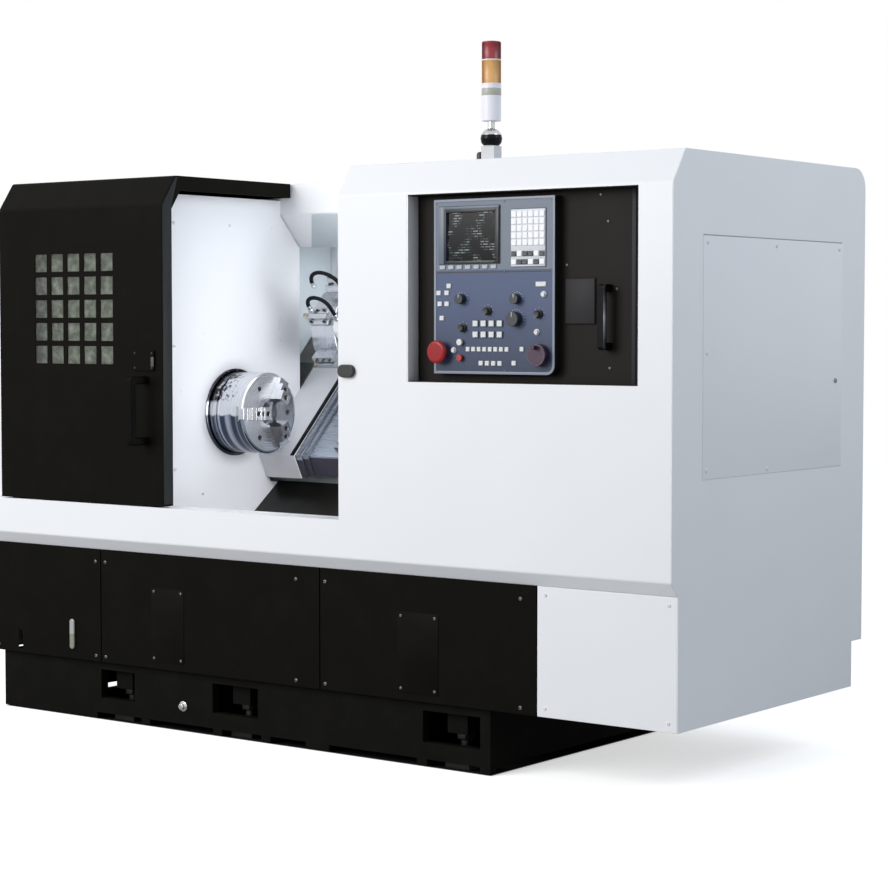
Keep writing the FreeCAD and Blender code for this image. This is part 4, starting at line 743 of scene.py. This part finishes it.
# The header face is coloured grey-blue, unlike the white liner round it: painted shade for the upper rear
# wall lying in shadow.
header = Blank("header_face")
header.skin([[(-421, 608, 1599.4), (545, 608, 1599.4), (545, 700, 1499.4), (-500, 700, 1499.4)],
             [(-421, 607, 1598.6), (545, 607, 1598.6), (545, 699, 1498.6), (-500, 699, 1498.6)]])
header.piece(header_grey, "liner_paint", rim=0.3)
rear_return = Blank("rear_guard_return")
rear_return.drawn([(702, 1501), (961, 1542), (961, 1310), (708, 1057)], -637, -635.8)
rear_return.piece(header_grey, "liner_paint", rim=0.3)
screws("wall_screws", [(-550, deep, z) for deep, z in ((105, 1560), (105, 1180), (105, 800), (360, 1560),
                                                       (560, 1560), (230, 720))],
       to_right, 5.5, 3, white_coat, 13)

# ---- chip trough and coolant tank ----------------------------------------------------------------
# The folded trough under the chuck leads chips and coolant forward to the tank below, a welded steel
# box that stands on the base. Both are painted sheet.
dress("chip_trough", coat("wet_black", (0.008, 0.008, 0.007), sheen=0.3, peel=0.3, dust=0.05, gleam=0.2),
      fold=0.008, rim=0.001)
dress("coolant_tank", coat("tank_coat", (0.12, 0.13, 0.14), sheen=0.4, peel=0.4, dust=0.1), rim=0.003)

# ---- telescoping way covers ----------------------------------------------------------------------
# Bright steel covers slide over each other as the carriage moves, and keep chips off the ways. Each is
# folded over the nose at the lower edge and carries a rubber wiper on its open end.
cover_steel = worked("cover_steel", (0.90, 0.91, 0.94), rough=0.4, spread=(0.03, 1, 1), scale=330, marks=0.2,
                     stain=0.02, metallic=0.15)


def shaded_slide_steel():
    """Brushed cover steel, darker on the skirt below the nose: the skirt's near-black colour is painted
    shade, and the sheet's blue-grey, darker than the fixed cover, is partly painted shade.
    """
    steel = Finish("shaded_slide_steel")
    skirt = ((-0.019 - off_covers(steel)) * 400).clipped()
    lines = steel.noise(330, 3, spread=(0.03, 1, 1))
    cloud = steel.noise(6, 4, rough=0.6)
    # Painted shade: the sheet's blue-grey is darker than the fixed cover's bright steel, in part for the
    # shade it lies in, and the skirt's colour is near black.
    sheet = steel.mix(cloud, (0.30, 0.34, 0.40, 1), (0.40, 0.44, 0.51, 1))
    painted_darkening = steel.mix(cloud, (0.035, 0.032, 0.05, 1), (0.075, 0.07, 0.10, 1))
    gloss = 0.3 + (lines - 0.5) * 0.25 + skirt * 0.15
    return steel.shader(Base_Color=steel.mix(skirt, sheet, painted_darkening), Metallic=0.75 - skirt * 0.5,
                        Roughness=gloss, Normal=steel.bump(lines, 0.2, 0.0004))


slide_steel = shaded_slide_steel()
wiper_rubber = coat("wiper_rubber", (0.010, 0.010, 0.012), sheen=0.55, peel=0.4, gleam=0.1)
lip_grey = coat("lip_grey", (0.16, 0.17, 0.20), sheen=0.5, peel=0.3)
dress("way_cover_fixed", cover_steel)
for cover in ("way_cover_inner", "way_cover_outer", "saddle_cover"):
    dress(cover, slide_steel)
cover_back = 600
for cover, drop, end, wide, finish in (("way_cover_fixed", 0, -400, 17, wiper_rubber),
                                       ("way_cover_inner", 5, -378, 5, lip_grey),
                                       ("way_cover_outer", 10, -356, 5, lip_grey)):
    wiper = Blank(cover + "_wiper", slanted)
    wiper.drawn([(drop + 3, -drop - 3), (drop + 3, -drop - 4.8), (cover_back - 4, -drop - 4.8),
                 (cover_back - 4, -drop - 3)], end - 5, end - 0.6)
    wiper.drawn([(drop + 2.2, -drop - 3), (drop - 22.3, -77), (drop - 20.6, -77), (drop + 3.9, -drop - 3)],
                end - 5, end - 0.6)
    wiper.drawn([(drop + 0.4, -drop + 0.1), (drop + 1.2, -drop + 1.5), (cover_back - 2, -drop + 1.5),
                 (cover_back - 2, -drop + 0.1)], end - wide, end - 0.4)
    wiper.piece(finish, "belt_rubber", body=body_of_node[cover], rim=0.3)

# ---- saddle, cross slide and turret --------------------------------------------------------------
# Iron saddle and cross slide with scraped faces. The turret head is a cast housing with a twelve-sided
# steel disc in front, and tool blocks bolted to six of its faces.
saddle_iron = worked("saddle_iron", (0.42, 0.43, 0.44), rough=0.34, spread=(0.3, 1, 1), scale=300, marks=0.2,
                     stain=0.2)
dress("saddle", saddle_iron, rim=0.0012)
slide_iron = worked("slide_iron", (0.46, 0.47, 0.48), rough=0.32, marks=0.2, stain=0.15)
dress("cross_slide", slide_iron, rim=0.0012)
turret_up = 395
turret_out = 178.2
turret_coat = coat("turret_coat", (0.52, 0.55, 0.58), sheen=0.35, peel=0.4, dust=0.05, lumps=0.4)
dress("turret_housing", turret_coat, rim=0.004, steps=3)
turret_deep = nose_deep + (turret_up - turret_out) * slant
turret_z = nose_z + (turret_up + turret_out) * slant
disc_steel = lathe_steel("disc_steel", (0.62, 0.64, 0.68), (turret_deep, turret_z), pitch=500, marks=0.3)
dress("turret_disc", disc_steel, rim=0.002, steps=3, hollows=False)
holder_steel = worked("holder_steel", (0.55, 0.57, 0.60), rough=0.26, spread=(0.06, 1, 1), scale=320,
                      marks=0.2, stain=0.1)
dress("tool_holders", holder_steel, rim=0.0014)


def around_turret(angle):
    """Places on the turret's axis: across, out along a disc face at this angle, and sideways from it."""
    cos, sin = math.cos(math.radians(angle)), math.sin(math.radians(angle))
    return lambda x, out, side: slanted(x, turret_up + out * cos - side * sin,
                                        turret_out + out * sin + side * cos)


flat = 130 * math.cos(math.radians(15))
clamp_heads = []
tips = Blank("cutting_tips")
clamps = Blank("tool_clamps")
for station in range(6):
    spot = around_turret(60 * station)
    outward = tuple((spot(0, 1, 0) - spot(0, 0, 0)).normalized())
    clamp_heads += seats([spot(x, flat + 22, 18.5) for x in (-330, -277)], outward, 4.5, 6)
    clamp_heads += seats([spot(x, flat + 32, -16) for x in (-330, -303, -276)], outward, 4, 5)
    clamps.spot = tips.spot = spot
    clamps.block((-342, -265), (flat + 22, flat + 29), (-14, -6.2))
    foot, top = flat + 40.8, flat + 45.2
    tips.skin([[(-346.5, foot, -3), (-336, foot, -3), (-338, foot, 6), (-348.5, foot, 6)],
               [(-347.5, top, -3.6), (-335.4, top, -3.6), (-337.4, top, 6.6), (-349.5, top, 6.6)]])
set_out("clamp_screws", clamp_heads, socket_head, black_steel, body="turret", seed=14)
clamps.piece(black_steel, body="turret", rim=0.8)
carbide = worked("carbide", (0.36, 0.30, 0.18), rough=0.35, scale=300, marks=0.1, metallic=0.7)
tips.piece(carbide, body="turret", rim=0.4)
disc_heads = seats([around_turret(30 * k + 15)(-350, 96, 0) for k in range(12)], to_left, 6.5, 4)
set_out("disc_screws", disc_heads, socket_head, black_steel, body="turret", seed=15)
cap_heads = seats([around_turret(60 * k)(-356, 48, 0) for k in range(6)], to_left, 5.5, 3.5)
set_out("disc_cap_screws", cap_heads, socket_head, black_steel, body="turret", seed=16)
nozzles = Blank("coolant_nozzles")
for station in range(12):
    nozzles.spot = around_turret(30 * station + 15)
    nozzles.turned("x", (118, 0), [(-350.5, 5), (-353.5, 4.4), (-353.5, 2.2), (-350, 2)], 12)
nozzles.piece(black_steel, body="turret", rim=0.3)

# ---- coolant hoses -------------------------------------------------------------------------------
# Two ribbed rubber hoses hold their own arch, from the turret housing's top to over the disc, where each
# ends in a plated nozzle. The ribs follow the hose's own path.
hose_rubber = coat("hose_rubber", (0.006, 0.007, 0.010), sheen=0.55, peel=0.3, gleam=0.08)
ribber = Recipe("ribbed_hose", {"Path": "Geometry", "Radius": "Float", "Rib height": "Float",
                                "Rib pitch": "Float", "Finish": "Material"})
line = ribber.step("GeometryNodeMeshToCurve", {"Mesh": ribber.given["Path"]})
even = ribber.step("GeometryNodeResampleCurve", {"Curve": line, "Length": ribber.given["Rib pitch"]},
                   mode="LENGTH")
place = ribber.step("GeometryNodeInputIndex", {})
odd = ribber.step("ShaderNodeMath", {0: place, 1: 2.0}, operation="MODULO")
rise = ribber.step("ShaderNodeMath", {0: odd, 1: ribber.given["Rib height"]}, operation="MULTIPLY")
reach = ribber.step("ShaderNodeMath", {0: rise, 1: ribber.given["Radius"]}, operation="ADD")
section = ribber.step("GeometryNodeCurvePrimitiveCircle", {"Resolution": 14, "Radius": 1.0})
ribber.end(ribber.step("GeometryNodeCurveToMesh", {"Curve": even, "Profile Curve": section, "Scale": reach,
                                                   "Fill Caps": True}))


def ribbed_hose(name, centre, span, leg_a, leg_b):
    """One hose: up a leg, over a half ring about its centre and down the other leg."""
    half = span / 2
    line = [(half, -leg_a + leg_a * k / 8) for k in range(8)]
    line += [(half * math.cos(math.pi * k / 40), half * math.sin(math.pi * k / 40)) for k in range(41)]
    line += [(-half, -leg_b * k / 8) for k in range(1, 9)]
    x, up, out = centre
    mesh = bpy.data.meshes.new(name)
    mesh.from_pydata([tuple(slanted(x + side, up, out + rise)) for side, rise in line],
                     [(k, k + 1) for k in range(len(line) - 1)], [])
    piece = ribber.run(name, mesh, Radius=0.0057, Rib_height=0.0009, Rib_pitch=0.0019, Finish=hose_rubber)
    for face in piece.data.polygons:
        face.use_smooth = True
    shown(piece, "cross_slide")
    unions = Blank(name + "_unions", lambda side, along, rise: slanted(x + side, up + along, out + rise))
    for side, low in ((half, -leg_a), (-half, -leg_b)):
        unions.turned("z", (side, 0), [(low, 8), (low + 1, 9), (low + 9, 9), (low + 10, 8)], 6)
        unions.turned("z", (side, 0), [(low + 9, 7.2), (low + 22, 7.2), (low + 23, 6.6)], 20)
    unions.piece(holder_steel, body="cross_slide", rim=0.4)
    return piece


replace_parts(ribbed_hose("hose_high", (-277, 395, 370), 110, 80, 8), "coolant_hoses")
ribbed_hose("hose_low", (-277, 321, 345), 84, 55, 16)

# ---- sliding door --------------------------------------------------------------------------------
# A folded steel door, powder-coated black, that wraps over the roof and slides in front of the fixed
# guard. Twenty-five square ports let the operator see in, behind one sheet of safety glass.
dress("door_shell", black_coat, fold=0.006, rim=0.0012)
door_right = -501
pane = Finish("safety_glass")
smear = ((pane.noise(36, 4, rough=0.6) - 0.42) * 4).clipped()
safety_glass = pane.shader(Base_Color=pane.mix(smear, (0.30, 0.33, 0.27, 1), (0.62, 0.66, 0.58, 1)),
                           Roughness=0.06 + smear * 0.10, Transmission_Weight=0.92, IOR=1.45)
dress("door_window", safety_glass)
left, foot, right, top = -1076, 1105, -690, 1489
gasket_bars = (((left - 9, right + 9), (foot - 9, foot - 0.3)), ((left - 9, right + 9), (top + 0.3, top + 9)),
               ((left - 9, left - 0.3), (foot, top)), ((right + 0.3, right + 9), (foot, top)))
plates("door_glass_gasket", wiper_rubber, "belt_rubber", *((x, (3.2, 12), z) for x, z in gasket_bars),
       body="door", rim=0.8)
seal_grey = coat("seal_grey", (0.026, 0.029, 0.031), sheen=0.5, peel=0.35, gleam=0.1)
seal = Blank("door_edge_seal")
seal.drawn([(4, 700), (4, 1609), (62, 1695), (70, 1695), (41, 1600), (41, 700)], door_right - 0.4,
           door_right + 1.2)
seal.piece(seal_grey, "belt_rubber", body="door", rim=0.5)
moulded_black = coat("moulded_black", (0.014, 0.014, 0.015), sheen=0.42, peel=0.6)
handle_black = coat("handle_black", (0.0022, 0.0020, 0.0017), sheen=0.55, peel=0.6, gleam=0.05)
dress("door_handle", handle_black, rim=0.005, steps=4)
screws("latch_screws", [(x, -6, z) for x in (-611, -539) for z in (1115, 1160)], to_front, 3.8, 2,
       black_steel, 17, body="door")
plates("latch_keeper", coat("keeper_grey", (0.085, 0.088, 0.070), sheen=0.45, peel=0.3, gleam=0.15),
       "machined_steel", ((-542, -530), (-7.8, -5.8), (1119.5, 1149)), body="door", rim=0.7)
dress("door_catch", moulded_black, rim=0.003, steps=3)

# ---- control recess and panel --------------------------------------------------------------------
# A black recess in the front carries the blue-grey operator's panel: screen, keys, knobs, a red mushroom
# stop and a small handwheel. Keys and knobs are moulded plastic set in the folded panel.
recess_coat = coat("recess_coat", (0.0175, 0.0155, 0.0135), sheen=0.45, peel=0.5, gleam=0.06)
dress("control_recess", recess_coat, rim=0.0012)
recess_face = 48
plates("recess_blank_plate", coat("plate_coat", (0.032, 0.031, 0.033), sheen=0.5, peel=0.4, gleam=0.1),
       "black_paint", ((941, 1033), (42.6, 44.4), (1250, 1368)), rim=0.5)
plates("recess_edge_strip", coat("strip_grey", (0.036, 0.036, 0.046), sheen=0.5, peel=0.4, gleam=0.1),
       "black_paint", ((1147, 1159), (recess_face - 2, recess_face), (1091, 1603)), rim=0.4)
plates("recess_flange", white_coat, "white_paint", ((439.2, 443.2), (0.2, 1), (1088.2, 1605.8)),
       ((442, 443.2), (1, 47.6), (1091, 1603)), rim=0.3)


def panel_finish():
    """Blue-grey paint on the panel's face, deeper toward the foot, and near black on the housing's sides as
    painted shade of the recess.
    """
    paint = Finish("panel_finish")
    across, back, up = paint.axes()
    cloud = paint.noise(30, 5, rough=0.7)
    fall = (((up - 1.12) * 5).clipped() + (cloud - 0.5) * 0.5).clipped()
    face = paint.mix(fall, (0.033, 0.046, 0.082, 1), (0.068, 0.093, 0.175, 1))
    # Painted shade: the housing's sides, behind the face, are coloured near black to stand for the recess's
    # shadow.
    sides = (back - front).over(0.0196)
    return paint.shader(Base_Color=paint.mix(sides, face, grey(0.012)), Roughness=0.42 + (cloud - 0.5) * 0.12,
                        Specular_IOR_Level=0.3, Normal=paint.bump(paint.noise(420, 2), 0.25, 0.0003))


dress("control_housing", panel_finish(), rim=0.0012)
screen = Finish("screen_glass")
upright = screen.place(Rotation=(math.radians(90), 0, 0))
dashes = screen.add("ShaderNodeTexBrick", {"offset": 0.37}, Vector=upright, Scale=1.0, Mortar_Size=0.0022,
                    Brick_Width=0.021, Row_Height=0.0072, Color1=grey(1), Color2=grey(0), Mortar=grey(0))
lit = ((screen.noise(30, 1) - 0.5) * 9 * dashes).clipped()
lit_glass = screen.shader(Base_Color=(0.006, 0.007, 0.008, 1), Roughness=0.12 + screen.noise(3, 2) * 0.05,
                          Specular_IOR_Level=0.12, Emission_Strength=0.8,
                          Emission_Color=screen.mix(lit, grey(0), (0.30, 0.36, 0.36, 1)))
dress("screen_glass", lit_glass)
# The raised trim round the panel is real, but its paler colour is a painted highlight along the panel's edge.
trim = Blank("panel_trim")
bend_x, bend_z, bend = 898, 1138, 25.6
loop = [(521.4, 1112.4), (bend_x, 1112.4)]
loop += [(bend_x + bend * math.sin(math.pi * k / 16), bend_z - bend * math.cos(math.pi * k / 16))
         for k in range(1, 9)]
loop += [(923.6, 1589.6), (521.4, 1589.6)]
rows = []
for x, z in loop:
    inner_x = min(max(x, 528), bend_x + max(x - bend_x, 0) * 0.72)
    inner_z = max(min(z, 1583), bend_z + min(z - bend_z, 0) * 0.72)
    rows.append([(x, 18.2, z), (x, 16.8, z), (inner_x, 16.8, inner_z), (inner_x, 18.2, inner_z)])
trim.skin([*rows, rows[0]], closed=False)
bmesh.ops.remove_doubles(trim.mesh, verts=trim.mesh.verts, dist=1e-6)
trim.piece(coat("trim_coat", (0.22, 0.25, 0.31), sheen=0.4, peel=0.4), "panel_paint", rim=0.3)
module_coat = coat("module_coat", (0.130, 0.160, 0.205), sheen=0.4, peel=0.4)
module_bars = (((529, 538), (1395, 1582)), ((746, 781), (1395, 1582)), ((897, 916), (1395, 1582)),
               ((538, 746), (1571, 1582)), ((781, 897), (1558, 1582)), ((538, 746), (1395, 1412)),
               ((781, 897), (1395, 1401)))
plates("display_module", module_coat, "panel_paint", *((x, (17.2, 18.2), z) for x, z in module_bars))
plates("panel_groove", moulded_black, "handle_plastic", ((528, 917), (17.7, 18.2), (1388, 1391)))
bezel_deep = (11.4, 14.6)
bezel_bars = (((559, 566), (1413, 1562)), ((732, 744), (1413, 1562)), ((566, 732), (1553, 1562)),
              ((566, 732), (1413, 1421)))
plates("screen_bezel", moulded_black, "handle_plastic", *((x, bezel_deep, z) for x, z in bezel_bars), rim=0.8)
plates("screen_frame", module_coat, "panel_paint", ((540, 559), bezel_deep, (1413, 1569)),
       ((559, 744), bezel_deep, (1562, 1569)), rim=0.8)
plates("keypad_plate", coat("pad_white", (0.62, 0.64, 0.68), sheen=0.4, peel=0.3), "button_plastic",
       ((783, 895), (14.3, 15.1), (1403, 1556)), rim=0.3)
key_white = coat("key_white", (0.66, 0.67, 0.66), sheen=0.35, peel=0.5, dust=0.04)
key_dark = coat("key_dark", (0.035, 0.038, 0.05), sheen=0.35, peel=0.5)
key_grey = coat("key_grey", (0.40, 0.43, 0.48), sheen=0.35, peel=0.5)
keypad_white = coat("keypad_white", (0.84, 0.85, 0.88), sheen=0.35, peel=0.5)
keycap = pattern("keycap", [square(0.5, 0.5, -0.05), square(0.5, 0.5, 0.55), square(0.46, 0.46, 0.85),
                            square(0.4, 0.4, 1.0), square(0.3, 0.3, 0.93)])
panel_face = 18
pad_face = 14.4


def keys(name, spots, wide, tall, rise, finish, face=panel_face):
    """A group of like keys, standing on the panel's face."""
    set_out(name, seats([(x, face, z) for x, z in spots], to_front, wide, tall, rise), keycap, finish,
            spin=0, crease=50)


keys("screen_keys", [(552 + 28.8 * k, 1404) for k in range(7)], 19, 11, 4, key_grey, face=17.4)
keys("mode_keys", [(538, 1334), (566, 1334), (573, 1353), (542, 1304), (566, 1304), (549, 1265)], 15, 13, 4,
     key_white)
keys("axis_keys", [(664.5 + 27 * k, z) for k in range(4) for z in (1250, 1220)], 17, 16, 3, key_white,
     face=15)
keys("row_keys_high", [(638 + 18.6 * k, 1180) for k in range(8)] + [(818, 1181)], 13, 13, 4, key_white)
keys("row_keys_low", [(682 + 21 * k, 1142) for k in range(4)] + [(792, 1143)], 14, 13, 4, key_white)
pad_column = [793 + 18.4 * k for k in range(6)]
keys("address_keys", [(x, 1543 - 19 * row) for x in pad_column for row in range(5)], 16.6, 16.6, 2.6,
     keypad_white, face=pad_face)
for name, finish, upper, lower in (("edit_keys", key_dark, (0, 2, 3, 5), (1, 2, 4)),
                                   ("enter_keys", keypad_white, (1, 4), (0, 3, 5))):
    keys(name, [(pad_column[k], 1437) for k in upper] + [(pad_column[k], 1415) for k in lower], 16.6, 14, 2.6,
         finish, face=pad_face)
knob_cap = pattern("knob_cap", [ring(radius, height, 20) for radius, height in (
    (1, -0.02), (1, 0.35), (0.8, 0.42), (0.76, 0.9), (0.68, 1), (0.3, 0.97))])
small_knobs = [(x, panel_face, z) for x, z in ((705, 1284), (873, 1275), (621, 1238))]
set_out("fixed_knobs", seats(small_knobs, to_front, 12, 16), knob_cap, moulded_black,
        seed=19)
small_buttons = [(x, panel_face, z) for x, z in ((590, 1177), (867, 1227), (889, 1328))]
set_out("round_buttons", seats(small_buttons, to_front, 8.5, 8), knob_cap, key_white,
        seed=20)
keys("key_bar", [(880, 1355)], 34, 13, 4, key_white)
tick = pattern("dial_tick", [square(0.5, 0.5, 0), square(0.5, 0.5, 1)])


def on_dial(x, deep, z, radius, angle):
    """A place on a dial's face, at an angle clockwise from its top."""
    return x + radius * math.sin(angle), deep, z + radius * math.cos(angle)


dials = ((798, 1262, 26, 135, 16), (801, 1316, 19, 90, 9), (617, 1317, 19, 120, 9), (705, 1284, 17, 120, 7),
         (873, 1275, 17, 120, 7), (621, 1238, 17, 90, 5))
ticks = []
for x, z, radius, half_turn, count in dials:
    ticks += [on_dial(x, panel_face, z, radius, math.radians(half_turn * (2 * k / (count - 1) - 1)))
              for k in range(count)]
set_out("dial_ticks", seats(ticks, to_front, 1.6, 0.4), tick, key_white, spin=0)
knob_grip = coat("knob_grip", (0.02, 0.022, 0.03), sheen=0.38, peel=0.5)
for knob, x, z, top, radius in (("feed_knob", 798, 1262, -4.5, 20), ("spindle_knob", 801, 1316, -0.5, 14),
                                ("mode_knob", 617, 1317, -0.5, 14)):
    dress(knob, knob_grip, rim=0.0012, steps=3)
    plates(knob + "_pointer", key_white, "button_plastic",
           ((x - 0.9, x + 0.9), (top - 0.5, top + 1), (z + radius * 0.25, z + radius * 0.9)),
           body=body_of_node[knob], rim=0.2)
stop_red = coat("stop_red", (0.31, 0.012, 0.016), sheen=0.25, peel=0.2, gleam=0.3)
dress("estop_button", stop_red, rim=0.003, steps=3, hollows=False)
dress("cycle_start_button", coat("start_white", (0.70, 0.70, 0.68), sheen=0.25, peel=0.2), rim=0.001)
dress("feed_hold_button", coat("hold_red", (0.45, 0.03, 0.03), sheen=0.25, peel=0.2), rim=0.001)
dress("handwheel", coat("wheel_dark", (0.045, 0.018, 0.045), sheen=0.3, peel=0.3), rim=0.0016, steps=3)
marks = [on_dial(877, -4, 1166, 26.9 if k % 10 == 0 else 27.6, 2 * math.pi * k / 100) for k in range(100)]
set_out("handwheel_marks", seats(marks, to_front, 0.5, 0.3), tick, key_white, "handwheel",
        spin=0)


def grip_finish():
    """Black grip with a painted highlight: a pale streak on its front right edge, strongest about its middle
    height.
    """
    grip = Finish("grip_finish")
    across, back, up = grip.axes()
    highlight_edge = across.over(1.0835) * (1 - (back - front).over(0.0145))
    highlight_band = (1 - abs(up - 1.268) * 16).clipped()
    painted_highlight = highlight_edge * ((grip.noise(14, 3) - 0.3) * 3).clipped() * (highlight_band * 0.85 + 0.15)
    return grip.shader(Base_Color=grip.mix(painted_highlight, (0.005, 0.005, 0.006, 1), (0.33, 0.33, 0.37, 1)),
                       Roughness=0.5 + (grip.noise(40, 3) - 0.5) * 0.2, Specular_IOR_Level=0.08)


dress("grab_handle", grip_finish(), rim=0.004, steps=3)
recess_spots = ((1049, 1589), (1072, 1518), (942, 1405), (1100, 1340), (1079, 1132), (1180, 1590),
                (1180, 1104))
screws("recess_screws", [(x, recess_face, z) for x, z in recess_spots], to_front, 4.5, 2.4, dull_zinc, 21)
screws("panel_screws", [(x, panel_face, z) for x in (529, 760, 914) for z in (1580, 1390, 1122)
                        if (x, z) != (914, 1122)], to_front, 3.4, 1.8, dull_zinc, 22)

# ---- signal tower --------------------------------------------------------------------------------
# A stack of plastic sections on a ball swivel: a white body, an amber lens and a red lens; a grey ring round
# the body is painted shade.
# The lenses are moulded with upright flutes that spread the lamp's light.
tower_centre = (620, 150)
tower_sides = 48


def swivel_finish():
    """Black moulded ball on a grey cast block, with a plated collar and pole above."""
    skin = Finish("swivel_finish")
    across, back, up = skin.axes()
    plated = up.over(1.772)
    black = up.over(1.7425) * (1 - plated)
    cloud = skin.noise(40, 3)
    paint = skin.mix(cloud, (0.56, 0.57, 0.58, 1), (0.62, 0.63, 0.64, 1))
    tone = skin.mix(plated, skin.mix(black, paint, (0.004, 0.004, 0.005, 1)), (0.55, 0.56, 0.57, 1))
    return skin.shader(Base_Color=tone, Metallic=plated * 0.9, Specular_IOR_Level=0.12,
                       Roughness=0.34 - black * 0.14 - plated * 0.16 + cloud * 0.04)


dress("tower_bracket", swivel_finish(), rim=0.001)
gland = Blank("tower_cable_gland")
gland.turned("z", (583, 150), [(1699, 14), (1703, 14), (1703, 11), (1720, 11), (1725, 8.5), (1727, 4.5)], 20)
gland.piece(moulded_black, "handle_plastic", rim=0.5)
tower_white = coat("tower_white", (0.80, 0.79, 0.86), sheen=0.4, peel=0.4)
dress("tower_body", tower_white, rim=0.002, steps=3)
# Painted shade: a grey ring round the white body stands for a band of shade on it.
shade_band = Blank("tower_band")
shade_band.turned("z", tower_centre, [(1880, 26.5), (1880, 27.4), (1900, 27.4), (1900, 26.5)], tower_sides)
shade_band.piece(coat("tower_grey", (0.40, 0.41, 0.35), sheen=0.4, peel=0.4), "tower_plastic", rim=0.5)


def lens_plastic(name, deep_colour, pale_colour, painted_glow):
    """Tinted clear plastic with painted highlights: paler where the surface faces the camera, deeper toward
    its rims, with a faint painted glow.
    """
    lens = Finish(name)
    cloud = lens.noise(18, 3)
    edge = lens.add("ShaderNodeLayerWeight", {}, Blend=0.35, out=1)
    pale = (0.85 - edge * 1.9 + (cloud - 0.5) * 0.6).clipped()
    return lens.shader(Base_Color=lens.mix(pale, deep_colour, pale_colour), Roughness=0.3 + cloud * 0.08,
                       Emission_Color=lens.mix(cloud, deep_colour, pale_colour), Emission_Strength=painted_glow,
                       Specular_IOR_Level=0.5)


flutes = 40
lens_radius = 26.6


def fluted_lens(node, low, high, plastic):
    """A lens with upright flutes and a plain band at each end."""
    lens = Blank(node + "_flutes")
    x, deep = tower_centre
    rows = []
    for z, depth in ((low, 0), (low + 3, 0), (low + 4, 1.3), (high - 4, 1.3), (high - 3, 0), (high, 0)):
        points = [(lens_radius - depth * (k % 2), math.pi * k / flutes) for k in range(2 * flutes)]
        rows.append([(x + radius * math.cos(turn), deep + radius * math.sin(turn), z)
                     for radius, turn in points])
    lens.skin(rows)
    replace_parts(lens.piece(plastic, slot_of_node[node], crease=60), node)


amber = lens_plastic("amber_plastic", (0.30, 0.13, 0.03, 1), (0.80, 0.46, 0.17, 1), 0.03)
fluted_lens("amber_lens", 1912, 1978, amber)
red = lens_plastic("red_plastic", (0.09, 0.003, 0.008, 1), (0.36, 0.035, 0.045, 1), 0.01)
fluted_lens("red_lens", 1978, 2027, red)
rings = Blank("tower_rings")
for z in (1910.5, 1976.5):
    rings.turned("z", tower_centre, [(z, 26.9), (z + 0.4, 27.3), (z + 2.6, 27.3), (z + 3, 26.9)], tower_sides)
rings.piece(tower_white, "tower_plastic")
cap = Blank("tower_cap")
cap.turned("z", tower_centre, [(2025.5, 26.8), (2028, 26.2), (2029, 23)], tower_sides)
cap_red = lens_plastic("red_cap", (0.10, 0.004, 0.008, 1), (0.28, 0.02, 0.03, 1), 0.01)
cap.piece(cap_red, "red_plastic", rim=0.4)
